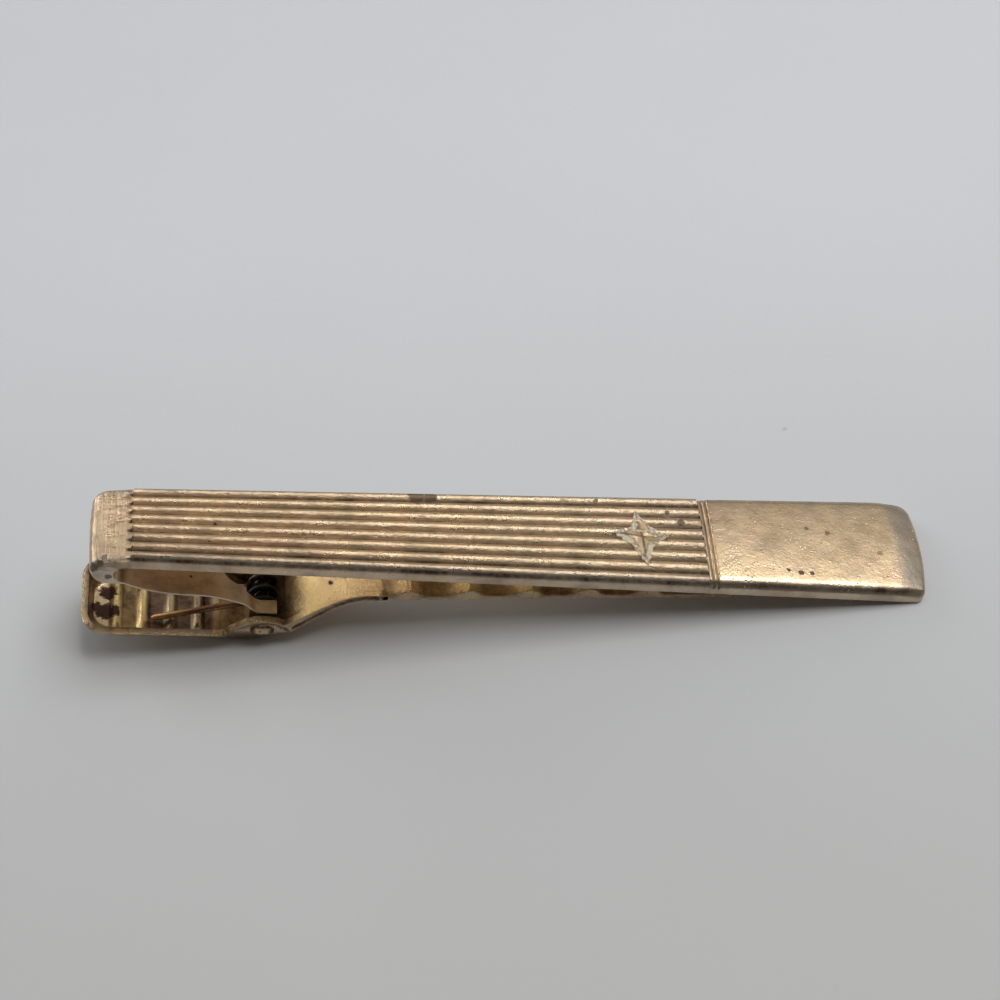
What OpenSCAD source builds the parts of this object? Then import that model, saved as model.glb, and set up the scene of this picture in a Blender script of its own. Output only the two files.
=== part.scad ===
// Hinged tie clip, lying on its back with the ornamental face up.
// One folded strip makes the face bar and the rear leg. A stamped lever with a
// thumb tray, two ears and a toothed jaw turns on a riveted pin in the leg's ears,
// and a wire spring wound round the pin holds the jaw shut against the bar.
// Sizes are first laid out with the bar level: x runs from the fold to the free end
// and z is 0 at the edge of the face. The whole clip is then tipped onto its rests.

/* [Face bar] */
// Length from the fold to the free end
bar_length = 60; // [54:1:72]
// Width beside the fold
bar_root_width = 6.4; // [6.2:0.1:7]
// Width at the free end
bar_end_width = 8.9; // [7.6:0.1:10]
// Thickness at the edges of the face
bar_thickness = 1.1; // [0.95:0.05:1.3]
// Radius of the crown across the face
crown_radius = 45; // [36:1:90]
// Height of the crown's middle over the edge of the face
crown_height = 0.22; // [0.15:0.01:0.3]
// Chamfer along the long edges of the face
edge_chamfer = 0.28; // [0.1:0.02:0.34]
// Radius of the two corners at the free end
end_corner_radius = 1.2; // [0.6:0.1:2]
// How far the free end bows out past its corners
end_bow = 0.4; // [0.2:0.05:0.8]
// Length of the bevel at the free end
end_bevel_length = 2.4; // [1:0.1:4]
// Drop of that bevel at the tip
end_bevel_drop = 0.4; // [0.1:0.05:0.6]

/* [Ribs, border and star] */
// Number of ribs across the face
rib_count = 8; // [5:1:11]
// Width of the groove between two ribs
groove_width = 0.4; // [0.2:0.02:0.5]
// Depth of the groove between two ribs
groove_depth = 0.18; // [0.08:0.02:0.24]
// Plain stretch between the fold and the ribs
fold_plain_length = 2.9; // [2.2:0.1:4]
// Step down from the ribs to that plain stretch
fold_step = 0.2; // [0.1:0.02:0.3]
// Smooth panel at the free end
panel_length = 15.7; // [12:0.1:20]
// Width of each of the two border lines
border_width = 0.24; // [0.12:0.02:0.34]
// Depth of the border lines
border_depth = 0.12; // [0.06:0.01:0.2]
// Distance between the two border lines
border_pitch = 0.42; // [0.36:0.02:0.7]
// Length of the star along the bar
star_length = 4.3; // [3:0.1:5.4]
// Width of the star across the bar
star_width = 5.2; // [3.6:0.1:5.6]
// Depth of the star's recess
star_depth = 0.12; // [0.06:0.01:0.2]
// From the border to the middle of the star
star_setback = 5.1; // [3.6:0.1:8]
// Turn of the star on the face, in degrees
star_turn = -3; // [-10:1:10]

/* [Fold and rear leg] */
// Thickness of the fold at its outer end, where the strip is pinched together
fold_thickness = 1.8; // [1.4:0.05:2]
// Clear height inside the fold
fold_gap = 1.6; // [1.3:0.1:1.8]
// Thickness of the rear leg
leg_thickness = 0.6; // [0.45:0.05:0.7]
// Reach of the leg past the pin's axis
leg_overhang = 1; // [0.95:0.05:1.3]
// Width of the spring's slot in the leg
slot_width = 2.6; // [2.4:0.05:2.8]
// Length of that slot, from its round root to the leg's end
slot_length = 4; // [3.6:0.1:4.6]
// Thickness of the leg's two ears
leg_ear_thickness = 0.5; // [0.4:0.05:0.55]
// Radius of the leg's ears round the pin
leg_ear_radius = 0.95; // [0.85:0.05:1]

/* [Hinge] */
// From the fold's outer end to the pin's axis
pivot_x = 12.4; // [12:0.1:13.4]
// From the face down to the pin's axis
pivot_drop = 7.5; // [7.3:0.1:7.8]
// Diameter of the pin
pin_diameter = 1.1; // [0.9:0.05:1.15]
// Radial clearance of the pin in the leg's ears
pin_clearance = 0.05; // [0.02:0.01:0.08]
// Diameter of the pin's two riveted heads
head_diameter = 1.75; // [1.5:0.05:1.9]
// Height of each riveted head
head_height = 0.22; // [0.1:0.02:0.4]
// Side clearance between the leg's ears and the lever's ears
ear_clearance = 0.1; // [0.06:0.01:0.15]

/* [Thumb tray and ears] */
// Thickness of the lever's sheet
sheet = 0.5; // [0.4:0.05:0.55]
// How far the tray reaches past the fold
tray_overhang = 0.44; // [0.1:0.02:1]
// How far the tray's rim stands out past the ears on each side
rim_stand = 0.05; // [0.04:0.01:0.3]
// How far each side wall of the tray draws in from its rim to the underside
wall_draw = 1.05; // [0.8:0.05:1.2]
// Corner radius of the tray's rim in plan
tray_corner_radius = 1.6; // [1.2:0.1:2.2]
// From the face down to the tray's rim
rim_drop = 8.3; // [8.2:0.05:8.6]
// Depth of the tray inside
tray_depth = 1.1; // [1:0.05:1.3]
// Number of ribs across the tray's floor
tray_rib_count = 4; // [2:1:4]
// From the fold's outer end to the first of these ribs
tray_rib_start = 2.05; // [1.6:0.05:2.1]
// Distance between the tray's ribs
tray_rib_pitch = 1.95; // [1.8:0.05:2]
// Width of each rib on the tray's floor
tray_rib_width = 0.7; // [0.4:0.05:0.8]
// Height of each rib on the tray's floor
tray_rib_height = 0.22; // [0.1:0.02:0.26]
// Distance across the outer faces of the lever's two ears
ear_span = 6.9; // [6.7:0.05:6.9]
// Height of the ears over the tray's rim
ear_rise = 1.8; // [1.7:0.05:2]
// Radius of the ears' rounded tops
ear_radius = 2.6; // [2.5:0.1:2.9]
// Radius of the notches in the rim beside the ears
notch_radius = 0.25; // [0.15:0.05:0.3]

/* [Arm and jaw] */
// From the pin's axis back to the heel, where the arm starts to rise
heel_setback = 1.1; // [0.9:0.1:1.3]
// From the pin's axis to the root of the jaw
jaw_reach = 8.3; // [8:0.1:9]
// From the face down to the underside of the jaw's root
jaw_root_drop = 4.2; // [4:0.1:4.4]
// Length of the jaw from its root to its tip
jaw_length = 26.1; // [23:0.1:28]
// Rise of the jaw's underside from root to tip
jaw_rise = 1.52; // [1.3:0.02:1.6]
// Width of the jaw
jaw_width = 6.2; // [5.6:0.1:6.5]
// Radius of the jaw's two corners at its tip
jaw_corner_radius = 1; // [0.4:0.1:1.6]
// Width of the arm at its waist
waist_width = 5.7; // [5.3:0.1:6.1]
// Height of the arm's side flanges over its floor
flange_height = 0.4; // [0.2:0.05:0.6]
// Number of teeth across the jaw
tooth_count = 5; // [3:1:5]
// Distance between the teeth
tooth_pitch = 4.3; // [3.6:0.1:4.4]
// Height of each tooth over the jaw's plate
tooth_height = 0.6; // [0.3:0.05:0.7]
// Length of the lip that is turned up at the jaw's tip
lip_length = 0.7; // [0.5:0.05:1.2]
// Gap between the closed lip and the back of the bar
lip_gap = 0.07; // [0.03:0.01:0.1]

/* [Spring] */
// Diameter of the spring's wire
wire_diameter = 0.48; // [0.4:0.02:0.5]
// Clearance between the coil and the pin
coil_clearance = 0.1; // [0.08:0.01:0.12]
// Whole turns of the coil between its two arms
coil_turns = 2; // [1:1:2]
// Distance between the two arms along the pin
arm_spread = 2.8; // [2.65:0.05:2.85]
// Side clearance between the coil and the leg's end
coil_side_clearance = 0.08; // [0.05:0.01:0.1]
// From the fold's outer end to the tip of the arm in the tray
tray_arm_x = 4.5; // [4.45:0.05:4.7]
// Gap between the arms' tips and what they bear on
bearing_gap = 0.04; // [0.02:0.01:0.08]

/* [Hidden] */
$fn = 48;

gold = [0.78, 0.62, 0.42];
pale_gold = [0.84, 0.71, 0.52];
pin_gold = [0.7, 0.58, 0.42];
copper = [0.72, 0.42, 0.26];

// Overrun that carries every cut clear of the metal
overrun = 1;
// Facets of the crown, whose radius is large
crown_facets = 360;
// Steps along each freely curved stretch
curve_steps = 10;
// How far the channel keeps inside the tray's walls where both overlap
seam_inset = 0.03;

panel_x = bar_length - panel_length;
star_x = panel_x - star_setback;
star_waist_share = 0.5;

fold_radius = (bar_thickness + fold_gap + leg_thickness - fold_step) / 2;
fold_inner_radius = fold_gap / 2;
leg_start_x = fold_thickness + fold_inner_radius;
leg_start_drop = bar_thickness + fold_gap;
leg_end_x = pivot_x + leg_overhang;
leg_plate_drop = pivot_drop - pin_diameter / 2 - 2 * pin_clearance - leg_thickness;
leg_run = leg_end_x - leg_start_x;
leg_fall = leg_plate_drop - leg_start_drop;
leg_ear_span = ear_span - 2 * sheet - 2 * ear_clearance;
// Knees of the leg's upper face and the handles between them, as shares of run and fall
leg_knee_shares = [[0, 0], [0.45, 0.4], [0.78, 0.715], [0.89, 1]];
leg_handle_shares = [[0.086, 0.18], [0.262, 0.37], [0.581, 0.425], [0.692, 0.58],
    [0.824, 0.78], [0.846, 0.985]];

floor_drop = rim_drop + tray_depth;
base_drop = floor_drop + sheet;
rim_inner_width = ear_span - 2 * sheet;
tray_width = ear_span + 2 * rim_stand;
tray_base_width = tray_width - 2 * wall_draw;
floor_width = tray_base_width - sheet;
ear_x = pivot_x + ear_clearance;
ear_drop = rim_drop - ear_rise + ear_radius;
heel_x = pivot_x - heel_setback;
// The tray ends in the middle of the notches, and the channel starts inside it
tray_end_x = ear_x - ear_radius - notch_radius;
channel_start_x = tray_end_x - notch_radius;
// Spread of the walls of tray and channel from the underside to the rim
wall_lean = wall_draw / (tray_depth + sheet);
hollow_lean = (rim_inner_width - floor_width) / 2 / (tray_depth - sheet / 2);

jaw_root_x = pivot_x + jaw_reach;
jaw_tip_x = jaw_root_x + jaw_length;
jaw_slope = jaw_rise / jaw_length;
// A tooth's rise and fall along the jaw, as shares of the pitch
tooth_rise_share = 0.46;
tooth_fall_share = 0.25;
// Handles of the arm's curve, as shares of its run and rise
arm_handle_shares = [[0.35, 0.11], [0.468, 0.91]];
// Where the ears have drawn in to the waist and where the jaw widens, as shares of its reach
waist_shares = [0.25, 0.75, 0.8];
// What is left of the flanges at the jaw's root
flange_end_share = 0.2;

coil_radius = pin_diameter / 2 + coil_clearance + wire_diameter / 2;
coil_window = arm_spread + wire_diameter + 2 * coil_side_clearance;
coil_window_x = pivot_x - coil_radius - wire_diameter / 2 - coil_side_clearance;
// Rings along one turn of the coil, and sides of its wire
coil_rings = 8;
wire_sides = 6;

function bar_width(x) = bar_root_width + (bar_end_width - bar_root_width) * x / bar_length;
function crown_z(y) = crown_height - crown_radius + sqrt(crown_radius * crown_radius - y * y);
function mix(a, b, t) = a + (b - a) * t;
function eased(x, from, to) = let (t = min(1, max(0, (x - from) / (to - from)))) t * t * (3 - 2 * t);
function backwards(list) = [for (i = [len(list) - 1:-1:0]) list[i]];
function joined(lists) = [for (list = lists) each list];
function arc(centre, r, from, to) =
    [for (i = [0:curve_steps]) let (a = mix(from, to, i / curve_steps)) centre + r * [cos(a), sin(a)]];
function curve(a, b, c, d) =
    [for (i = [0:curve_steps]) let (t = i / curve_steps, s = 1 - t)
        s * s * s * a + 3 * s * s * t * b + 3 * s * t * t * c + t * t * t * d];
function heading(path, i) =
    let (d = path[min(i + 1, len(path) - 1)] - path[max(i - 1, 0)]) d / norm(d);
function beside(path, d) =
    [for (i = [0:len(path) - 1]) let (h = heading(path, i)) path[i] + d * [h[1], -h[0]]];

// Draws an x and z outline upright and as wide as asked, about a given y
module across(width, y = 0) {
    translate([0, y, 0]) rotate([90, 0, 0]) linear_extrude(height = width, center = true) children();
}

// Closes a row of alike rings into one solid of triangles
module skinned(rings) {
    sides = len(rings[0]);
    last = len(rings) - 1;
    polyhedron(
        points = joined(rings),
        faces = concat(
            [for (j = [1:sides - 2]) [0, j, j + 1]],
            [for (i = [0:last - 1], j = [0:sides - 1], half = [0, 1])
                let (k = (j + 1) % sides, a = i * sides, b = a + sides)
                half == 0 ? [a + j, b + j, b + k] : [a + j, b + k, a + k]],
            [for (j = [1:sides - 2]) [last * sides, last * sides + j + 1, last * sides + j]]),
        convexity = 6);
}

// Tips the level clip onto its heel and free end, and centres it over the origin
rest_tilt = atan((base_drop - bar_thickness) / (bar_length - heel_x));
rest_left = -tray_overhang * cos(rest_tilt) - rim_drop * sin(rest_tilt);
rest_right = bar_length * cos(rest_tilt) + (crown_height - end_bevel_drop) * sin(rest_tilt);
rest_lift = heel_x * sin(rest_tilt) + base_drop * cos(rest_tilt);
module at_rest() {
    translate([-(rest_left + rest_right) / 2, 0, rest_lift]) rotate([0, rest_tilt, 0]) children();
}

// Upper face of the leg, from the fold to its flat end plate
function leg_point(share) = [leg_start_x + leg_run * share[0], -leg_start_drop - leg_fall * share[1]];
leg_top = concat(
    joined([for (i = [0:2])
        [for (j = [min(i, 1):curve_steps]) curve(leg_point(leg_knee_shares[i]),
            leg_point(leg_handle_shares[2 * i]), leg_point(leg_handle_shares[2 * i + 1]),
            leg_point(leg_knee_shares[i + 1]))[j]]]),
    [[leg_end_x, -leg_plate_drop]]);

// Side view of the whole folded strip
module strip_side() {
    bevel_x = bar_length - end_bevel_length;
    polygon(concat(
        [[bar_length, -bar_thickness], [bar_length, crown_height - end_bevel_drop],
            [bevel_x, crown_height], [bevel_x - overrun, crown_height + overrun],
            [fold_plain_length, crown_height + overrun], [fold_plain_length, -fold_step]],
        arc([fold_radius, -fold_step - fold_radius], fold_radius, 90, 270),
        beside(leg_top, leg_thickness),
        backwards(leg_top),
        arc([leg_start_x, -bar_thickness - fold_inner_radius], fold_inner_radius, 270, 90)));
}

// Plan of the bar, with its bowed free end and round corners
module bar_plan() {
    corner_x = bar_length - end_bow - end_corner_radius;
    corner_y = bar_width(corner_x) / 2 - end_corner_radius;
    polygon(concat(
        [[-overrun, bar_width(-overrun) / 2], [-overrun, -bar_width(-overrun) / 2]],
        arc([corner_x, -corner_y], end_corner_radius, -90, 0),
        [for (i = [1:curve_steps - 1]) let (s = 2 * i / curve_steps - 1)
            [bar_length - end_bow * s * s, corner_y * s]],
        arc([corner_x, corner_y], end_corner_radius, 0, 90)));
}

// Plan of the leg, which draws in from the fold to its ears
module leg_plan() {
    right = [[-overrun, -bar_width(-overrun) / 2], [leg_start_x, -bar_width(leg_start_x) / 2],
        [pivot_x - leg_ear_radius, -leg_ear_span / 2], [leg_end_x + overrun, -leg_ear_span / 2]];
    polygon(concat(right, backwards([for (p = right) [p[0], -p[1]]])));
}

// Large round that crowns the face across the bar
module crown() {
    translate([-overrun, 0, crown_height - crown_radius]) rotate([0, 90, 0])
        cylinder(h = bar_length + 2 * overrun, r = crown_radius, $fn = crown_facets);
}

// The strip before its face is cut and its ears are bent down
module folded_strip() {
    split_drop = bar_thickness + fold_inner_radius;
    intersection() {
        across(bar_end_width + overrun) strip_side();
        union() {
            translate([0, 0, -split_drop])
                linear_extrude(height = split_drop + overrun) bar_plan();
            translate([0, 0, -pivot_drop])
                linear_extrude(height = pivot_drop - split_drop) leg_plan();
        }
        crown();
    }
}

// Grooves that fan out with the bar, one between each two ribs
module rib_grooves() {
    run = panel_x - fold_plain_length;
    for (i = [1:rib_count - 1]) {
        place = i / rib_count - 1 / 2;
        start_y = place * bar_width(fold_plain_length);
        end_y = place * bar_width(panel_x);
        fan = atan((end_y - start_y) / run);
        translate([fold_plain_length, start_y, crown_z((start_y + end_y) / 2)]) rotate([0, 0, fan])
            translate([-overrun, 0, 0]) rotate([90, 0, 90])
                linear_extrude(height = run / cos(fan) + overrun)
                    polygon([[0, -groove_depth], [groove_width, groove_depth],
                        [-groove_width, groove_depth]]);
    }
}

// Two lines round the crown where the ribs meet the panel
module border_lines() {
    for (i = [0, 1])
        translate([panel_x + i * border_pitch, 0, crown_height - crown_radius]) rotate([0, 90, 0])
            rotate_extrude($fn = crown_facets)
                polygon([[crown_radius - border_depth, 0],
                    [crown_radius + border_depth, border_width],
                    [crown_radius + border_depth, -border_width]]);
}

// Shallow recess of a four-pointed star
module star_recess() {
    translate([star_x, 0, crown_height - star_depth]) rotate([0, 0, star_turn])
        linear_extrude(height = star_depth + overrun)
            polygon([for (i = [0:7]) let (reach_share = i % 2 == 0 ? 1 : star_waist_share)
                reach_share / 2 * [star_length * cos(i * 45), star_width * sin(i * 45)]]);
}

// Chamfers along both long edges of the face
module edge_chamfers() {
    taper = atan((bar_end_width - bar_root_width) / 2 / bar_length);
    side_length = edge_chamfer * sqrt(2);
    for (side = [-1, 1])
        translate([0, side * bar_root_width / 2, 0]) rotate([0, 0, side * taper]) rotate([45, 0, 0])
            translate([fold_plain_length, -side_length / 2, -side_length / 2])
                cube([bar_length, side_length, side_length]);
}

// One of the two ears bent down from the leg's end plate
module leg_ear(y) {
    across(leg_ear_thickness, y) {
        translate([pivot_x, -pivot_drop]) circle(r = leg_ear_radius);
        translate([pivot_x - leg_ear_radius, -pivot_drop])
            square([2 * leg_ear_radius, pivot_drop - leg_plate_drop - leg_thickness / 2]);
    }
}

// Slot through the leg's end that clears the spring's arms and coil
module spring_slot() {
    root_x = leg_end_x - slot_length + slot_width / 2;
    window_length = leg_end_x + overrun - coil_window_x;
    translate([0, 0, -pivot_drop]) linear_extrude(height = pivot_drop - leg_start_drop) {
        translate([root_x, 0]) circle(d = slot_width);
        translate([root_x, -slot_width / 2]) square([leg_end_x + overrun - root_x, slot_width]);
        translate([coil_window_x, -coil_window / 2]) square([window_length, coil_window]);
    }
}

// Round bar along the pin's axis
module on_pivot(length, radius) {
    translate([pivot_x, 0, -pivot_drop]) rotate([90, 0, 0])
        cylinder(h = length, r = radius, center = true);
}

module front_bar() {
    ear_y = (leg_ear_span - leg_ear_thickness) / 2;
    color(gold) at_rest() difference() {
        union() {
            folded_strip();
            leg_ear(ear_y);
            leg_ear(-ear_y);
        }
        rib_grooves();
        border_lines();
        star_recess();
        edge_chamfers();
        spring_slot();
        on_pivot(ear_span, pin_diameter / 2 + pin_clearance);
    }
}

// Rim of the tray's outside or hollow at one height, round at the thumb end
function tray_ring(z, inset, width, radius, end_x) =
    [for (p = concat([[end_x, width / 2]],
        arc([inset + radius - tray_overhang, width / 2 - radius], radius, 90, 180),
        arc([inset + radius - tray_overhang, radius - width / 2], radius, 180, 270),
        [[end_x, -width / 2]])) [p[0], p[1], z]];

module tray_outside() {
    skinned([
        tray_ring(-base_drop, sheet, tray_base_width, tray_corner_radius / 2, tray_end_x),
        tray_ring(-rim_drop, 0, tray_width, tray_corner_radius, tray_end_x)]);
}

// The hollow's sides run on at the same lean above the rim
module tray_inside() {
    floor_inset = 3 / 2 * sheet;
    lean = (rim_inner_width - floor_width) / 2 / tray_depth;
    end_lean = (floor_inset - sheet) / tray_depth;
    skinned([
        tray_ring(-floor_drop, floor_inset, floor_width, sheet, tray_end_x + overrun),
        tray_ring(overrun - rim_drop, sheet - end_lean * overrun, rim_inner_width + 2 * lean * overrun,
            tray_corner_radius, tray_end_x + overrun)]);
}

// Low round ribs across the tray's floor, rooted in the middle of the sheet
module tray_ribs() {
    radius = (tray_rib_width * tray_rib_width / 4 + tray_rib_height * tray_rib_height)
        / (2 * tray_rib_height);
    across(floor_width + sheet) intersection() {
        for (i = [0:tray_rib_count - 1])
            translate([tray_rib_start + i * tray_rib_pitch, tray_rib_height - radius - floor_drop])
                circle(r = radius);
        translate([0, -floor_drop - sheet / 2]) square([tray_end_x, sheet]);
    }
}

// Half the lever's outer width along the ears and the arm
function lever_half(x) =
    mix(mix(ear_span, waist_width, eased(x, pivot_x + jaw_reach * waist_shares[0],
        pivot_x + jaw_reach * waist_shares[1])),
        jaw_width, eased(x, pivot_x + jaw_reach * waist_shares[2], jaw_root_x)) / 2;

// Plan of the arm and the jaw, drawn in on both sides by an inset
module lever_plan(inset) {
    corner_x = jaw_tip_x - jaw_corner_radius;
    half = [for (i = [0:2 * curve_steps])
        let (x = mix(channel_start_x, jaw_root_x, i / curve_steps / 2)) [x, lever_half(x) - inset]];
    side = concat([[channel_start_x - overrun, ear_span / 2 - inset]], half,
        arc([corner_x, jaw_width / 2 - jaw_corner_radius - inset], jaw_corner_radius, 90, 0));
    polygon(concat(side, backwards([for (p = side) [p[0], -p[1]]])));
}

// Upper face of the jaw's plate
function plate_z(x) = -jaw_root_drop + jaw_slope * (x - jaw_root_x) + sheet;

// Underside of the channel: flat under the ears, then an easy rise to the jaw
arm_run = jaw_root_x - heel_x;
arm_rise = base_drop - jaw_root_drop;
function arm_point(share) = [heel_x + arm_run * share[0], -base_drop + arm_rise * share[1]];
channel_path = concat([[channel_start_x, -base_drop]],
    curve(arm_point([0, 0]), arm_point(arm_handle_shares[0]), arm_point(arm_handle_shares[1]),
        arm_point([1, 1])));
channel_floor = beside(channel_path, -sheet);
flange_top = [for (i = [0:len(channel_path) - 1])
    let (h = heading(channel_path, i),
        rise = flange_height * mix(1, flange_end_share, eased(channel_path[i][0], ear_x, jaw_root_x)))
        channel_floor[i] + rise * [-h[1], h[0]]];

// Teeth and turned-up lip on the jaw's plate, from its root to its tip
lip_x = jaw_tip_x - lip_length;
jaw_top = concat(
    joined([for (i = [0:tooth_count - 1])
        let (x = jaw_root_x + (i + tooth_rise_share) * tooth_pitch,
            from = x - tooth_rise_share * tooth_pitch,
            to = x + tooth_fall_share * tooth_pitch)
        [[from, plate_z(from)], [x, plate_z(x) + tooth_height], [to, plate_z(to)]]]),
    [[lip_x - lip_length, plate_z(lip_x - lip_length)], [lip_x, -bar_thickness - lip_gap],
        [jaw_tip_x, -bar_thickness - lip_gap]]);

// Underside of the whole lever, and everything over a path
jaw_end = [jaw_tip_x, plate_z(jaw_tip_x) - sheet];
module above(path) {
    last = path[len(path) - 1];
    polygon(concat(path, [[last[0], overrun], [path[0][0], overrun]]));
}

// Side view of channel and jaw, with the walls up to the rim and the ears
module lever_side() {
    intersection() {
        above(concat(channel_path, [jaw_end]));
        union() {
            polygon(concat(channel_path, [jaw_end], backwards(jaw_top), backwards(flange_top)));
            translate([channel_start_x, -base_drop])
                square([ear_x - channel_start_x, tray_depth + sheet]);
            translate([ear_x, -ear_drop]) circle(r = ear_radius);
        }
    }
}

// Side view of the hollow over the channel's floor, which ends in the first tooth
module hollow_side() {
    end_x = jaw_root_x + sheet / 2;
    above(concat([channel_floor[0] - [overrun, 0]], channel_floor, [[end_x, plate_z(end_x)]]));
}

// Bar with leaning sides from a bottom at a height, as wide as asked there
module leaning(bottom_z, width, lean) {
    rise = overrun - bottom_z;
    translate([channel_start_x - 2 * overrun, 0, 0]) rotate([90, 0, 90])
        linear_extrude(height = jaw_tip_x - channel_start_x + 4 * overrun)
            polygon([[-width / 2, bottom_z], [width / 2, bottom_z],
                [width / 2 + lean * rise, overrun], [-width / 2 - lean * rise, overrun]]);
}

// Bent channel that carries the ears, and the toothed jaw that it runs out into
module channel_and_jaw() {
    depth = base_drop + overrun;
    difference() {
        intersection() {
            across(tray_width) lever_side();
            translate([0, 0, -depth]) linear_extrude(height = depth) lever_plan(0);
            leaning(-base_drop - overrun, tray_base_width - 2 * (seam_inset + wall_lean * overrun),
                wall_lean);
        }
        intersection() {
            across(tray_width) hollow_side();
            translate([0, 0, -depth]) linear_extrude(height = depth + overrun) lever_plan(sheet);
            leaning(-floor_drop - overrun, floor_width - 2 * (seam_inset + hollow_lean * overrun),
                hollow_lean);
        }
    }
}

module jaw_lever() {
    color(pale_gold) at_rest() difference() {
        union() {
            difference() {
                tray_outside();
                tray_inside();
            }
            tray_ribs();
            channel_and_jaw();
        }
        translate([tray_end_x, 0, -rim_drop]) rotate([90, 0, 0])
            cylinder(h = tray_width + overrun, r = notch_radius, center = true);
        on_pivot(ear_span + overrun, pin_diameter / 2);
    }
}

// Shank with a low riveted head outside each ear of the lever
module hinge_pin() {
    color(pin_gold) at_rest() {
        on_pivot(ear_span, pin_diameter / 2);
        for (side = [-1, 1])
            translate([pivot_x, side * ear_span / 2, -pivot_drop]) rotate([-90 * side, 0, 0])
                cylinder(h = head_height, d1 = head_diameter, d2 = head_diameter - head_height);
    }
}

// Tip of an arm as x and z, and the angle on the coil where that arm leaves it
tray_tip = [tray_arm_x, bearing_gap + wire_diameter / 2 - floor_drop];
leg_knee = leg_point(leg_knee_shares[1]);
leg_tip = [leg_knee[0], leg_knee[1] - leg_thickness - bearing_gap - wire_diameter / 2];
function leave_angle(tip, side) =
    let (d = tip - [pivot_x, -pivot_drop]) atan2(d[1], d[0]) + side * acos(coil_radius / norm(d));
tray_leave = leave_angle(tray_tip, -1);
leg_leave = leave_angle(leg_tip, 1);
coil_sweep = (tray_leave - leg_leave + 720) % 360 + 360 * coil_turns;
coil_steps = ceil(coil_sweep / 360 * coil_rings);

// Route of the wire: the tray's arm, the coil and the leg's arm
coil_route = [for (i = [0:coil_steps]) let (a = tray_leave - coil_sweep * i / coil_steps)
    [pivot_x + coil_radius * cos(a), mix(-arm_spread, arm_spread, i / coil_steps) / 2,
        coil_radius * sin(a) - pivot_drop]];
wire_route = concat([[tray_tip[0], -arm_spread / 2, tray_tip[1]]], coil_route,
    [[leg_tip[0], arm_spread / 2, leg_tip[1]]]);

function unit(v) = v / norm(v);
function wire_ring(route, i) =
    let (along = unit(route[min(i + 1, len(route) - 1)] - route[max(i - 1, 0)]),
        out = unit(cross(along, [0, 1, 0])), up = cross(out, along))
    [for (j = [0:wire_sides - 1]) let (a = -360 * j / wire_sides)
        route[i] + wire_diameter / 2 * (cos(a) * out + sin(a) * up)];

// Least gap of the wire to its own other turns
turn_gaps = [for (i = [0:coil_steps], j = [i + coil_rings / 2:coil_steps])
    norm(coil_route[j] - coil_route[i]) - wire_diameter];
echo(least_gap_in_coil = min(turn_gaps));

module torsion_spring() {
    color(copper) at_rest()
        skinned([for (i = [0:len(wire_route) - 1]) wire_ring(wire_route, i)]);
}

front_bar();
jaw_lever();
hinge_pin();
torsion_spring();
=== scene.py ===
"""Looks of a hinged tie clip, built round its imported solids.

Every piece is shaped in millimetres with the face bar level: x runs from the fold to the
free end, y goes across the bar, and z is 0 at the edge of the face. A finished piece is
settled: it is tipped as the clip lies and turned into metres, with its place in its mesh.
"""

import logging
import math
from dataclasses import dataclass, field
from enum import Enum
from typing import Callable, Optional, Sequence

import bmesh
import bpy
from mathutils import Matrix, Vector


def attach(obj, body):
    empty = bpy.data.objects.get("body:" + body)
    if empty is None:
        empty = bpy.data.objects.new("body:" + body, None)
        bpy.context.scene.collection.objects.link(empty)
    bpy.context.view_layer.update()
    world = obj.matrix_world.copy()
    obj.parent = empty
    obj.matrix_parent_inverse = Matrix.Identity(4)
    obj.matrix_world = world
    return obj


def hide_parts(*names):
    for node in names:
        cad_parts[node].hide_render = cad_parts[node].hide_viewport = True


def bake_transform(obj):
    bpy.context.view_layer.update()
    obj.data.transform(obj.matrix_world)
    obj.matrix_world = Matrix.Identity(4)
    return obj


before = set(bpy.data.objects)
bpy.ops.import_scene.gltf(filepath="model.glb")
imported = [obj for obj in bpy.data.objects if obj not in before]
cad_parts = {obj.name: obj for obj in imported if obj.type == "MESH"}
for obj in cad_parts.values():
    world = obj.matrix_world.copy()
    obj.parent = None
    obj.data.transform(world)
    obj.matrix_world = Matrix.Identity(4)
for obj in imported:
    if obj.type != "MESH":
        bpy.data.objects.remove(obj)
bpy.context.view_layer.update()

LOG = logging.getLogger("tie_clip")
MM = 0.001
# With no window, the rotate operator turns against the right-hand rule
TURN_SIGN = -1.0
# Vertices nearer to each other than this, in millimetres, become one
MERGE = 0.0005
# Shifts smaller than this, in millimetres, are none
STILL = 1e-6
Point = tuple[float, float]
Place = tuple[float, float, float]
Colour = tuple[float, float, float]


class Layer(Enum):
    """Numbers painted on a piece, which its finish reads."""

    # Dirt and painted shade, laid on by each piece
    SOIL = "shade_and_dirt"
    WORN = "worn"
    COARSE = "coarse"
    DRAWN = "drawn"


class Body(Enum):
    """The two bodies that a piece can ride on."""

    LEVER = "lever"
    BAR = "bar"


class Slot(Enum):
    """The record's material slots."""

    FACE = "bar_plate"
    LEVER = "lever_plate"
    PIN = "pin_metal"
    WIRE = "spring_wire"


def mix(a: float, b: float, t: float) -> float:
    """Value that lies t of the way from a to b."""
    return a + (b - a) * t


def eased(x: float, start: float, end: float) -> float:
    """Smooth step of x from 0 at start to 1 at end."""
    t = min(1.0, max(0.0, (x - start) / (end - start)))
    return t * t * (3 - 2 * t)


def banded(x: float, rise: Point, fall: Point) -> float:
    """Smooth band of x: up from 0 to 1 along its rise and down again along its fall."""
    return eased(x, *rise) * (1 - eased(x, *fall))


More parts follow.
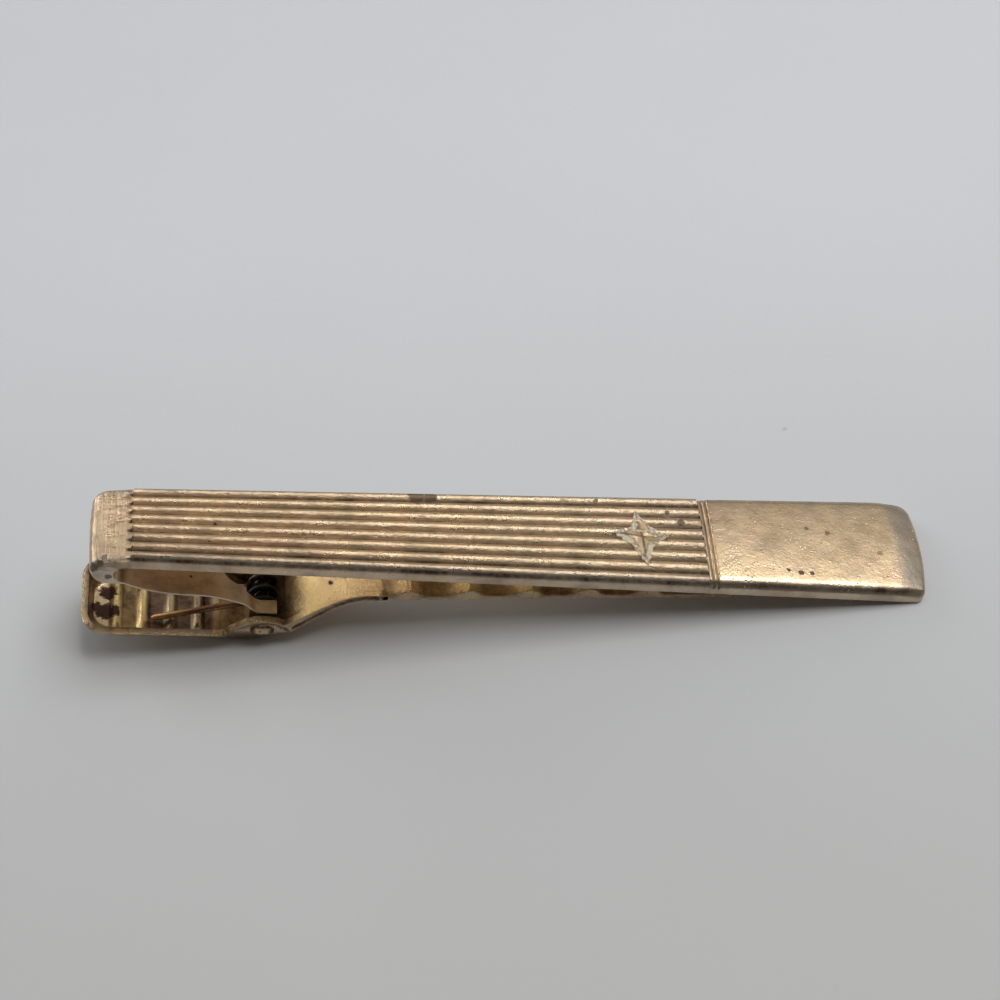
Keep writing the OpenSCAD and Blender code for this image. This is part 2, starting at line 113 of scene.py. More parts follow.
def bezier(points: Sequence[Point], t: float) -> Point:
    """Point on a cubic curve.

    Args:
        points: The curve's two ends with its two handles between them, as x and z.
        t: Place along the curve, from 0 to 1.

    Returns:
        The point's x and z.
    """
    s = 1 - t
    shares = (s * s * s, 3 * s * s * t, 3 * s * t * t, t * t * t)
    return (
        sum(k * p[0] for k, p in zip(shares, points)),
        sum(k * p[1] for k, p in zip(shares, points)),
    )


def steps(start: float, end: float, count: int) -> list[float]:
    """Evenly spaced values after start, up to and with end."""
    return [mix(start, end, (i + 1) / count) for i in range(count)]


# ---------------------------------------------------------------------------
# Sizes
# ---------------------------------------------------------------------------


@dataclass(frozen=True)
class ClipSizes:
    """Sizes that more than one piece of the clip follows, in millimetres and degrees."""

    bar_length: float = 60.0
    bar_root_width: float = 6.4
    bar_end_width: float = 8.9
    bar_thickness: float = 1.1
    crown_radius: float = 45.0
    crown_height: float = 0.22
    end_bevel_drop: float = 0.4
    leg_thickness: float = 0.6
    pivot_x: float = 12.4
    pivot_drop: float = 7.5
    pin_radius: float = 0.55
    heel_setback: float = 1.1
    sheet: float = 0.5
    tray_overhang: float = 0.44
    rim_drop: float = 8.3
    tray_depth: float = 1.1
    ear_span: float = 6.9
    jaw_reach: float = 8.3
    jaw_root_drop: float = 4.2
    jaw_length: float = 26.1
    jaw_rise: float = 1.52
    jaw_width: float = 6.2
    waist_width: float = 5.7
    wire_radius: float = 0.24
    coil_clearance: float = 0.1
    arm_spread: float = 2.8

    @property
    def base_drop(self) -> float:
        """Depth of the tray's underside below the face."""
        return self.rim_drop + self.tray_depth + self.sheet

    @property
    def heel_x(self) -> float:
        """Where the lever's underside starts to rise."""
        return self.pivot_x - self.heel_setback

    @property
    def jaw_root_x(self) -> float:
        """Where the arm runs out into the jaw."""
        return self.pivot_x + self.jaw_reach

    @property
    def jaw_tip_x(self) -> float:
        """Where the jaw ends."""
        return self.jaw_root_x + self.jaw_length

    @property
    def coil_radius(self) -> float:
        """Radius of the spring's coil at the middle of its wire."""
        return self.pin_radius + self.coil_clearance + self.wire_radius

    @property
    def tilt(self) -> float:
        """Angle in radians at which the clip lies on its heel and its free end."""
        return math.atan((self.base_drop - self.bar_thickness) / (self.bar_length - self.heel_x))

    @property
    def settling(self) -> Matrix:
        """Matrix from the level clip in millimetres to the row frame in metres.

        Returns:
            The matrix.
        """
        s, c = math.sin(self.tilt), math.cos(self.tilt)
        left = -self.tray_overhang * c - self.rim_drop * s
        right = self.bar_length * c + (self.crown_height - self.end_bevel_drop) * s
        lift = self.heel_x * s + self.base_drop * c
        place = Matrix.Translation((-(left + right) / 2, 0, lift))
        return Matrix.Scale(MM, 4) @ place @ Matrix.Rotation(self.tilt, 4, "Y")

    def bar_width(self, x: float) -> float:
        """Width of the tapered bar at x."""
        return mix(self.bar_root_width, self.bar_end_width, x / self.bar_length)

    def crown_z(self, y: float) -> float:
        """Height of the crowned face at y."""
        return self.crown_height - self.crown_radius + math.sqrt(self.crown_radius**2 - y * y)

    def jaw_underside(self, x: float) -> float:
        """Height of the jaw's underside at x."""
        return -self.jaw_root_drop + self.jaw_rise / self.jaw_length * (x - self.jaw_root_x)


# ---------------------------------------------------------------------------
# Bench: shaping by operators
# ---------------------------------------------------------------------------


def leave_all() -> None:
    """Leaves edit mode and deselects every object."""
    if bpy.context.object and bpy.context.object.mode != "OBJECT":
        bpy.ops.object.mode_set(mode="OBJECT")
    bpy.ops.object.select_all(action="DESELECT")


class Workpiece:
    """One mesh on the bench, shaped in edit mode and finished with applied modifiers."""

    def __init__(self, name: str) -> None:
        """Takes up the object that was added or joined last.

        Args:
            name: Name of the finished piece.
        """
        self.obj = bpy.context.object
        self.obj.name = name
        self.obj.data.name = name
        bpy.ops.object.transform_apply(location=True, rotation=True, scale=True)
        bpy.ops.object.mode_set(mode="EDIT")
        bpy.ops.mesh.select_mode(type="VERT")

    @property
    def mesh(self) -> bmesh.types.BMesh:
        """The mesh as edit mode holds it."""
        return bmesh.from_edit_mesh(self.obj.data)

    def selected(self) -> set[int]:
        """Numbers of the vertices that are selected now.

        Returns:
            The numbers.
        """
        mesh = self.mesh
        mesh.verts.index_update()
        return {v.index for v in mesh.verts if v.select}

    def reselect(self, chosen: set[int]) -> None:
        """Selects these vertices alone, with the edges and faces between them.

        Args:
            chosen: Numbers of the vertices.
        """
        bpy.ops.mesh.select_all(action="DESELECT")
        mesh = self.mesh
        mesh.verts.ensure_lookup_table()
        for i in chosen:
            mesh.verts[i].select = True
        mesh.select_flush(True)
        bmesh.update_edit_mesh(self.obj.data, loop_triangles=False, destructive=False)

    def pick(self, where: Callable[[Vector], bool], among: Optional[set[int]] = None) -> set[int]:
        """Selects the vertices at some place.

        Args:
            where: Says whether a vertex at a point is picked.
            among: Numbers of the vertices to pick from, or all of them.

        Returns:
            The numbers of the vertices picked.
        """
        mesh = self.mesh
        mesh.verts.index_update()
        mesh.verts.ensure_lookup_table()
        pool = mesh.verts if among is None else [mesh.verts[i] for i in among]
        chosen = {v.index for v in pool if where(v.co)}
        self.reselect(chosen)
        return chosen

    def pick_parts(self, mesh: bmesh.types.BMesh, chosen: Sequence[object]) -> None:
        """Selects these edges or faces alone.

        Args:
            mesh: The mesh as edit mode holds it.
            chosen: Its edges or faces to select.
        """
        for part in (mesh.verts, mesh.edges, mesh.faces):
            for item in part:
                item.select = False
        for item in chosen:
            item.select_set(True)
        bmesh.update_edit_mesh(self.obj.data, loop_triangles=False, destructive=False)

    def pick_faces(self, where: Callable[[Vector, Vector], bool]) -> None:
        """Selects the faces at some place.

        Args:
            where: Says whether a face with a middle and a normal is picked.
        """
        mesh = self.mesh
        mesh.normal_update()
        chosen = [f for f in mesh.faces if where(f.calc_center_median(), f.normal)]
        self.pick_parts(mesh, chosen)

    def pick_edges(self, where: Callable[[Vector, Vector], bool]) -> None:
        """Selects the edges whose two ends fit.

        Args:
            where: Says whether an edge between two points is picked.
        """
        mesh = self.mesh
        self.pick_parts(mesh, [e for e in mesh.edges if where(e.verts[0].co, e.verts[1].co)])

    @staticmethod
    def move(x: float = 0.0, y: float = 0.0, z: float = 0.0) -> None:
        """Moves what is selected."""
        bpy.ops.transform.translate(value=(x, y, z))

    @staticmethod
    def scale(x: float, y: float, z: float, about: Place) -> None:
        """Scales what is selected about a point."""
        bpy.ops.transform.resize(value=(x, y, z), center_override=about)

    @staticmethod
    def turn(degrees: float, axis: str, about: Place) -> None:
        """Turns what is selected about an axis through a point, by the right-hand rule.

        Args:
            degrees: How far.
            axis: Letter of the axis.
            about: The point that the axis goes through.
        """
        bpy.ops.transform.rotate(
            value=math.radians(degrees) * TURN_SIGN, orient_axis=axis, center_override=about
        )

    @staticmethod
    def extrude(x: float = 0.0, y: float = 0.0, z: float = 0.0) -> None:
        """Extrudes what is selected, which leaves the new end selected."""
        bpy.ops.mesh.extrude_region_move(TRANSFORM_OT_translate={"value": (x, y, z)})

    def cut_across(self, axis: int, places: Sequence[float]) -> None:
        """Cuts the piece along parallel planes, which leaves more vertices to shape or paint.

        Args:
            axis: Number of the axis that the planes stand across.
            places: Where the planes cross that axis.
        """
        normal = [float(i == axis) for i in range(3)]
        for place in places:
            bpy.ops.mesh.select_all(action="SELECT")
            bpy.ops.mesh.bisect(plane_co=[place * n for n in normal], plane_no=normal)

    def form(self, target: Callable[[Vector], Sequence[float]]) -> None:
        """Presses the blank to shape, each vertex to its own place, with displacements.

        Args:
            target: Gives the formed place of a vertex of the blank.
        """
        leave_all()
        places = [v.co.copy() for v in self.obj.data.vertices]
        shifts = [Vector(target(p)) - p for p in places]
        for axis, letter in enumerate("XYZ"):
            for side in (1, -1):
                reach = max(side * d[axis] for d in shifts)
                if reach < STILL:
                    continue
                group = self.obj.vertex_groups.new(name=f"press_{letter}")
                for i, d in enumerate(shifts):
                    if side * d[axis] > 0:
                        group.add([i], side * d[axis] / reach, "REPLACE")
                self.modify(
                    "DISPLACE", direction=letter, strength=side * reach, mid_level=0,
                    vertex_group=group.name,
                )
                self.obj.vertex_groups.remove(self.obj.vertex_groups[f"press_{letter}"])

    def hold(self) -> None:
        """Makes the piece the only one that is selected, in object mode."""
        leave_all()
        self.obj.select_set(True)
        bpy.context.view_layer.objects.active = self.obj

    def modify(self, kind: str, **settings: object) -> None:
        """Adds one modifier in object mode and applies it.

        Args:
            kind: Blender's name of the modifier.
            **settings: Values set on it.
        """
        self.hold()
        modifier = self.obj.modifiers.new(kind.lower(), kind)
        for name, value in settings.items():
            setattr(modifier, name, value)
        bpy.ops.object.modifier_apply(modifier=modifier.name)

    def thicken(self, sheet: float) -> None:
        """Gives the formed face the thickness of its sheet, on its inside."""
        self.modify("SOLIDIFY", thickness=sheet, offset=-1, use_even_offset=True)

    def round_edges(self, width: float, segments: int, angle: float) -> None:
        """Rounds the edges that turn by more than an angle in degrees.

        Args:
            width: Width of the rounding.
            segments: Number of its strips.
            angle: The least angle of an edge to round.
        """
        self.modify(
            "BEVEL", width=width, segments=segments, limit_method="ANGLE",
            angle_limit=math.radians(angle),
        )

    def resume(self) -> None:
        """Goes back to shaping the piece in edit mode."""
        self.hold()
        bpy.ops.object.mode_set(mode="EDIT")

    def tidy(self) -> None:
        """Merges doubles and turns all faces outwards."""
        if self.obj.mode != "EDIT":
            self.resume()
        bpy.ops.mesh.select_all(action="SELECT")
        bpy.ops.mesh.remove_doubles(threshold=MERGE)
        bpy.ops.mesh.normals_make_consistent(inside=False)

    def paint(self, layer: Layer, value: Callable[[Vector, Vector], float]) -> None:
        """Stores a number on every vertex, which the finishes read.

        Args:
            layer: What the number stands for.
            value: Gives the number at a place with a normal.
        """
        leave_all()
        store = self.obj.data.attributes.new(layer.value, "FLOAT", "POINT")
        numbers = [value(v.co, v.normal) for v in self.obj.data.vertices]
        store.data.foreach_set("value", numbers)

    def settle(self, sizes: ClipSizes, smooth: float = 38.0) -> bpy.types.Object:
        """Smooths the piece and sets it down in the row frame.

        Args:
            sizes: The clip's sizes, which hold the way it lies.
            smooth: Angle in degrees up to which the shading runs over an edge.

        Returns:
            The finished object, at the origin and unturned.
        """
        self.hold()
        self.obj.matrix_world = sizes.settling
        bpy.ops.object.transform_apply(location=True, rotation=True, scale=True)
        bpy.ops.object.shade_smooth_by_angle(angle=math.radians(smooth))
        self.obj.select_set(False)
        return self.obj


def add_grid(across_x: int, across_y: int, name: str) -> Workpiece:
    """Cuts a flat blank one unit long and two units wide, from x 0 and about y 0.

    Args:
        across_x: Number of cells along x.
        across_y: Number of cells along y.
        name: Name of the finished piece.

    Returns:
        The blank in edit mode.
    """
    leave_all()
    bpy.ops.mesh.primitive_grid_add(
        x_subdivisions=across_x, y_subdivisions=across_y, size=1, location=(0.5, 0, 0)
    )
    bpy.context.object.scale = (1, 2, 1)
    return Workpiece(name)


def join(pieces: Sequence[bpy.types.Object], name: str) -> Workpiece:
    """Joins shaped objects into one workpiece.

    Args:
        pieces: The objects that become one.
        name: Name of the joined piece.

    Returns:
        The joined workpiece.
    """
    leave_all()
    for piece in pieces:
        piece.select_set(True)
    bpy.context.view_layer.objects.active = pieces[0]
    bpy.ops.object.join()
    return Workpiece(name)


# ---------------------------------------------------------------------------
# Finishes
# ---------------------------------------------------------------------------


def tone(red: int, green: int, blue: int) -> Colour:
    """Turns a display colour, 0 to 255, into a linear one."""
    parts = [c / 255 for c in (red, green, blue)]
    return tuple(c / 12.92 if c < 0.04045 else ((c + 0.055) / 1.055) ** 2.4 for c in parts)


class Wiring:
    """Lays nodes in one node tree and joins them."""

    def __init__(self, tree: bpy.types.NodeTree) -> None:
        """Starts on a tree, which it clears."""
        self.tree = tree
        tree.nodes.clear()

    def node(self, kind: str, **settings: object) -> bpy.types.Node:
        """Adds a node of a kind and sets its options.

        Args:
            kind: Blender's name of the kind.
            **settings: Options of the node.

        Returns:
            The node.
        """
        node = self.tree.nodes.new(kind)
        for name, value in settings.items():
            setattr(node, name, value)
        return node

    def feed(self, socket: bpy.types.NodeSocket, value: object) -> None:
        """Puts a value on a socket, or joins another socket to it.

        Args:
            socket: The input.
            value: The value, or the output to join.
        """
        if isinstance(value, bpy.types.NodeSocket):
            self.tree.links.new(value, socket)
        elif isinstance(value, tuple) and socket.type == "RGBA":
            socket.default_value = (*value, 1.0)
        else:
            socket.default_value = value

    def math(self, operation: str, *values: object, clamp: bool = False) -> bpy.types.NodeSocket:
        """Computes one number from one to three others.

        Args:
            operation: Blender's name of the operation.
            *values: The numbers or sockets.
            clamp: Whether the result stays between 0 and 1.

        Returns:
            The result.
        """
        node = self.node("ShaderNodeMath", operation=operation, use_clamp=clamp)
        for socket, value in zip(node.inputs, values):
            self.feed(socket, value)
        return node.outputs[0]

    def times(self, *values: object) -> bpy.types.NodeSocket:
        """Multiplies two or more numbers.

        Args:
            *values: The numbers or sockets.

        Returns:
            The product.
        """
        product = values[0]
        for value in values[1:]:
            product = self.math("MULTIPLY", product, value)
        return product

    def plus(self, first: object, second: object) -> bpy.types.NodeSocket:
        """Adds two numbers."""
        return self.math("ADD", first, second)

    def most(self, first: object, second: object) -> bpy.types.NodeSocket:
        """Picks the larger of two numbers."""
        return self.math("MAXIMUM", first, second)

    def flipped(self, value: object) -> bpy.types.NodeSocket:
        """Turns a mask over: 0 to 1 and 1 to 0."""
        return self.math("SUBTRACT", 1.0, value)

    def span(self, value: object, low: object, high: object) -> bpy.types.NodeSocket:
        """Turns a value between low and high smoothly into 0 to 1.

        Args:
            value: The value.
            low: Where 0 is reached.
            high: Where 1 is reached.

        Returns:
            The result.
        """
        node = self.node("ShaderNodeMapRange", interpolation_type="SMOOTHSTEP")
        for name, item in (("Value", value), ("From Min", low), ("From Max", high)):
            self.feed(node.inputs[name], item)
        return node.outputs["Result"]

    def noise(
        self, place: object, scale: object, detail: float = 3.0, rough: float = 0.55
    ) -> bpy.types.NodeSocket:
        """Reads cloudy noise at a place.

        Args:
            place: Where it is read.
            scale: Its fineness, for each metre.
            detail: Number of finer layers.
            rough: Weight of the finer layers.

        Returns:
            The noise, about 0.5.
        """
        node = self.node("ShaderNodeTexNoise")
        self.feed(node.inputs["Vector"], place)
        for name, item in (("Scale", scale), ("Detail", detail), ("Roughness", rough)):
            self.feed(node.inputs[name], item)
        return node.outputs["Fac"]

    def cells(self, place: object, scale: object) -> bpy.types.NodeSocket:
        """Reads the distance to the nearest of scattered points.

        Args:
            place: Where it is read.
            scale: Its fineness, for each metre.

        Returns:
            The distance.
        """
        node = self.node("ShaderNodeTexVoronoi")
        self.feed(node.inputs["Vector"], place)
        self.feed(node.inputs["Scale"], scale)
        return node.outputs["Distance"]

    def blend(self, share: object, first: object, second: object) -> bpy.types.NodeSocket:
        """Mixes two colours by a share.

        Args:
            share: Share of the second colour.
            first: The colour at 0.
            second: The colour at 1.

        Returns:
            The mixed colour.
        """
        node = self.node("ShaderNodeMix", data_type="RGBA")
        colours = [socket for socket in node.inputs if socket.type == "RGBA"]
        self.feed(node.inputs[0], share)
        self.feed(colours[0], first)
        self.feed(colours[1], second)
        return next(socket for socket in node.outputs if socket.type == "RGBA")

    def stretched(self, place: object, stretch: Place) -> bpy.types.NodeSocket:
        """Stretches a place along the axes.

        Args:
            place: The place.
            stretch: Factor along each axis.

        Returns:
            The stretched place.
        """
        node = self.node("ShaderNodeVectorMath", operation="MULTIPLY")
        self.feed(node.inputs[0], place)
        node.inputs[1].default_value = stretch
        return node.outputs[0]

    def coordinates(self, kind: str) -> bpy.types.NodeSocket:
        """Reads the place by one of the kinds of coordinates."""
        return self.node("ShaderNodeTexCoord").outputs[kind]

    def parted(self, place: object) -> dict[str, bpy.types.NodeSocket]:
        """Takes a place apart into X, Y and Z.

        Args:
            place: The place.

        Returns:
            The three numbers by their letters.
        """
        node = self.node("ShaderNodeSeparateXYZ")
        self.feed(node.inputs[0], place)
        return {socket.name: socket for socket in node.outputs}

    def attribute(self, layer: Layer) -> bpy.types.NodeSocket:
        """Reads a number painted on the piece."""
        return self.node("ShaderNodeAttribute", attribute_name=layer.value).outputs["Fac"]

    def finish(self, output: str, surface: bpy.types.NodeSocket) -> None:
        """Joins a shader to an output node of a kind."""
        self.feed(self.node(output).inputs["Surface"], surface)


def new_material(name: str) -> tuple[bpy.types.Material, Wiring]:
    """Starts a material.

    Args:
        name: Name of the material.

    Returns:
        The material and the wiring of its nodes.
    """
    material = bpy.data.materials.new(name)
    material.use_nodes = True
    return material, Wiring(material.node_tree)


class Effect:
    """A shared effect: a node group with named inputs and outputs, built once."""

    def __init__(self, name: str, inputs: dict[str, object], output: str, kind: str) -> None:
        """Opens the group.

        Args:
            name: Name of the effect.
            inputs: Its inputs by name, each with its usual value, or None for a vector.
            output: Name of its output.
            kind: Socket type of its output.
        """
        self.group = bpy.data.node_groups.new(name, "ShaderNodeTree")
        self.wiring = Wiring(self.group)
        for label, usual in inputs.items():
            socket_kind = "NodeSocketVector" if usual is None else "NodeSocketFloat"
            if isinstance(usual, tuple):
                socket_kind = "NodeSocketColor"
            socket = self.group.interface.new_socket(label, in_out="INPUT", socket_type=socket_kind)
            if isinstance(usual, tuple):
                socket.default_value = (*usual, 1.0)
            elif usual is not None:
                socket.default_value = usual
        self.group.interface.new_socket(output, in_out="OUTPUT", socket_type=kind)
        self.inputs = self.wiring.node("NodeGroupInput").outputs
        self.result = self.wiring.node("NodeGroupOutput").inputs[0]

    def place(self, wiring: Wiring, **values: object) -> bpy.types.NodeSocket:
        """Places the effect in a material.

        Args:
            wiring: The material's wiring.
            **values: Values or sockets for its inputs.

        Returns:
            Its output.
        """
        node = wiring.node("ShaderNodeGroup", node_tree=self.group)
        for label, value in values.items():
            wiring.feed(node.inputs[label], value)
        return node.outputs[0]


def pitted_relief() -> Effect:
    """Effect for the grain, pits and soft dents of worn plating, as a height in millimetres.

    Returns:
        The effect.
    """
    effect = Effect(
        "pitted relief",
        {"Place": None, "Grain": 1.0, "Coarse": 0.0, "Pits": 1.0, "Dents": 1.0, "Drawn": 0.0},
        "Height", "NodeSocketFloat",
    )
    w, i = effect.wiring, effect.inputs
    grain = w.plus(w.times(w.noise(i["Place"], 7200.0, 3.0, 0.6), 0.02),
                   w.times(w.noise(i["Place"], 2500.0, 2.0), 0.02))
    patch = w.span(w.noise(i["Place"], 700.0, 2.0), 0.45, 0.65)
    hollow = w.math("SUBTRACT", w.span(w.cells(i["Place"], 3000.0), 0.02, 0.26), 1.0)
    drawn = w.noise(w.stretched(i["Place"], (1.0, 0.07, 1.0)), 3300.0, 3.0)
    coarse = w.times(w.noise(i["Place"], 4300.0, 5.0, 0.72), 0.055, i["Coarse"])
    height = w.plus(w.times(grain, i["Grain"]), coarse)
    height = w.plus(height, w.times(hollow, patch, 0.03, i["Pits"]))
    height = w.plus(height, w.times(w.noise(i["Place"], 420.0, 1.0), 0.06, i["Dents"]))
    height = w.plus(height, w.times(drawn, 0.07, i["Drawn"]))
    w.feed(effect.result, height)
    return effect


def darkening_mask() -> Effect:
    """Effect for dark specks, clouds of oxide, smears along the bar, and the dirt and painted shade
    laid on the piece, as a mask.

    Returns:
        The effect.
    """
    effect = Effect(
        "tarnish spots", {"Place": None, "Specks": 1.0, "Clouds": 1.0, "Smears": 1.0, "ShadeAndDirt": 0.0},
        "Mask", "NodeSocketFloat",
    )
    w, i = effect.wiring, effect.inputs
    ragged = w.times(w.noise(i["Place"], 4200.0, 3.0), 0.28)
    near = w.plus(w.cells(i["Place"], 900.0), ragged)
    where = w.span(w.noise(i["Place"], 260.0, 2.0), 0.5, 0.66)
    speck = w.times(w.flipped(w.span(near, 0.18, 0.3)), where, i["Specks"])
    close = w.span(w.plus(w.cells(i["Place"], 2600.0), ragged), 0.18, 0.32)
    some = w.span(w.noise(i["Place"], 600.0, 2.0), 0.48, 0.62)
    dots = w.times(w.flipped(close), some, i["Specks"], 0.6)
    cloud = w.times(w.span(w.noise(i["Place"], 330.0, 4.0, 0.65), 0.42, 0.75), i["Clouds"], 0.35)
    smear = w.span(w.noise(w.stretched(i["Place"], (0.2, 1.0, 1.0)), 4200.0, 4.0, 0.7), 0.5, 0.72)
    smear = w.times(smear, i["Smears"], 0.5)
    uneven = w.plus(0.4, w.times(w.noise(i["Place"], 2100.0, 4.0, 0.7), 1.2))
    # Clouds, plus the dirt and painted shade laid on the piece
    dirt = w.plus(cloud, w.times(i["ShadeAndDirt"], uneven))
    mask = w.most(w.most(w.most(speck, dots), smear), dirt)
    w.feed(effect.result, w.math("MINIMUM", mask, 1.0))
    return effect


def tone_drift() -> Effect:
    """Effect for the slow drift between gold, rosy and grey plating, as a colour.

    Returns:
        The effect.
    """
    white = (1.0, 1.0, 1.0)
    effect = Effect(
        "tone drift", {"Place": None, "Gold": white, "Rose": white, "Grey": white, "Greyness": 0.3},
        "Colour", "NodeSocketColor",
    )
    w, i = effect.wiring, effect.inputs
    rosy = w.times(w.span(w.noise(i["Place"], 230.0, 3.0), 0.4, 0.68), 0.6)
    worn = w.plus(w.times(w.noise(i["Place"], 520.0, 5.0, 0.62), 0.9), -0.45)
    worn = w.math("ADD", worn, i["Greyness"], clamp=True)
    w.feed(effect.result, w.blend(worn, w.blend(rosy, i["Gold"], i["Rose"]), i["Grey"]))
    return effect


def ragged_blotch() -> Effect:
    """Effect for one ragged dark blotch at a known place, as a mask.

    Returns:
        The effect.
    """
    effect = Effect(
        "ragged blotch", {"Place": None, "Middle": None, "Radius": 0.0005, "Strength": 1.0},
        "Mask", "NodeSocketFloat",
    )
    w, i = effect.wiring, effect.inputs
    away = w.node("ShaderNodeVectorMath", operation="DISTANCE")
    w.feed(away.inputs[0], i["Place"])
    w.feed(away.inputs[1], i["Middle"])
    ragged = w.plus(-0.1, w.times(w.noise(i["Place"], 3300.0, 5.0, 0.72), 2.2))
    share = w.math("DIVIDE", w.times(away.outputs["Value"], ragged), i["Radius"])
    w.feed(effect.result, w.times(w.flipped(w.span(share, 0.7, 1.05)), i["Strength"]))
    return effect


@dataclass(frozen=True)
class Effects:
    """The shared effects."""

    relief: Effect
    darkening: Effect
    drift: Effect
    blotch: Effect


@dataclass(frozen=True)
class Blotch:
    """A dark blotch on the metal, by its place on the level clip in millimetres."""

    middle: Place
    radius: float
    strength: float = 0.9


@dataclass(frozen=True)
class WornPlating:
    """Gold-toned plating, worn grey in places, oxidised and finely pitted, with dirt and painted
    shade laid over it.
    """

    name: str
    gold: Colour = tone(232, 201, 158)
    rose: Colour = tone(232, 192, 156)
    grey: Colour = tone(200, 186, 167)
    # Colour of dirt and of the painted shade
    shade_and_dirt: Colour = tone(66, 49, 36)
    greyness: float = 0.3
    roughness: float = 0.22
    roughness_spread: float = 0.12
    specks: float = 1.0
    clouds: float = 1.0
    smears: float = 0.0
    grain: float = 1.0
    pits: float = 1.0
    dents: float = 1.0
    darkening_roughness: float = 0.22
    darkening_dullness: float = 0.4
    blotches: tuple[Blotch, ...] = ()

    def darkening(
        self, w: Wiring, place: bpy.types.NodeSocket, effects: Effects, sizes: ClipSizes
    ) -> bpy.types.NodeSocket:
        """Lays specks, dirt, painted shade and blotches over one another.

        Args:
            w: The material's wiring.
            place: The place on the piece.
            effects: The shared effects.
            sizes: The clip's sizes, which hold the way it lies.

        Returns:
            The mask of dark places.
        """
        mask = effects.darkening.place(
            w, Place=place, Specks=self.specks, Clouds=self.clouds,
            Smears=w.times(w.attribute(Layer.COARSE), self.smears), ShadeAndDirt=w.attribute(Layer.SOIL),
        )
        for blotch in self.blotches:
            dark = effects.blotch.place(
                w, Place=place, Middle=tuple(sizes.settling @ Vector(blotch.middle)),
                Radius=blotch.radius * MM, Strength=blotch.strength,
            )
            mask = w.most(mask, dark)
        return mask

    def make(self, effects: Effects, sizes: ClipSizes) -> bpy.types.Material:
        """Makes the material.

        Args:
            effects: The shared effects.
            sizes: The clip's sizes, which hold the way it lies.

        Returns:
            The finished material.
        """
        material, w = new_material(self.name)
        place = w.coordinates("Object")
        mask = self.darkening(w, place, effects, sizes)
        colour = effects.drift.place(
            w, Place=place, Gold=self.gold, Rose=self.rose, Grey=self.grey,
            Greyness=w.plus(w.attribute(Layer.WORN), self.greyness),
        )
        height = effects.relief.place(
            w, Place=place, Grain=self.grain, Coarse=w.attribute(Layer.COARSE), Pits=self.pits,
            Dents=self.dents, Drawn=w.attribute(Layer.DRAWN),
        )
        shader = w.node("ShaderNodeBsdfPrincipled")
        # The mask darkens the colour for oxide, dirt and painted shade
        w.feed(shader.inputs["Base Color"], w.blend(mask, colour, self.shade_and_dirt))
        patchy = w.times(w.span(w.noise(place, 900.0, 3.0), 0.3, 0.7), self.roughness_spread)
        rough = w.plus(patchy, self.roughness)
        rough = w.math("ADD", rough, w.times(mask, self.darkening_roughness), clamp=True)
        w.feed(shader.inputs["Roughness"], rough)
        w.feed(shader.inputs["Metallic"], w.flipped(w.times(mask, self.darkening_dullness)))
        bump = w.node("ShaderNodeBump")
        bump.inputs["Distance"].default_value = MM
        w.feed(bump.inputs["Height"], height)
        w.feed(shader.inputs["Normal"], bump.outputs["Normal"])
        w.finish("ShaderNodeOutputMaterial", shader.outputs["BSDF"])
        return material


class ClipPiece:
    """A piece of the clip: it builds its own mesh and dresses it."""

    body: Body
    slot: Slot
    node: Optional[str] = None
    sizes: ClipSizes

    def build(self) -> bpy.types.Object:
        """Builds the piece's mesh."""
        raise NotImplementedError

    def finishes(self) -> tuple[WornPlating, ...]:
        """The piece's finishes, in the order of its material slots."""
        raise NotImplementedError

    def dress(self, piece: bpy.types.Object, effects: Effects) -> None:
        """Gives the piece its finishes and its body, and hides the CAD node that it stands for.

        Args:
            piece: The built piece.
            effects: The shared effects.
        """
        for finish in self.finishes():
            piece.data.materials.append(finish.make(effects, self.sizes))
        self.follow(piece)
        if self.node:
            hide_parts(self.node)

    def follow(self, piece: bpy.types.Object) -> None:
        """Lets the piece ride on its body."""
        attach(piece, self.body.value)


# ---------------------------------------------------------------------------
# Face bar, fold and leg
# ---------------------------------------------------------------------------


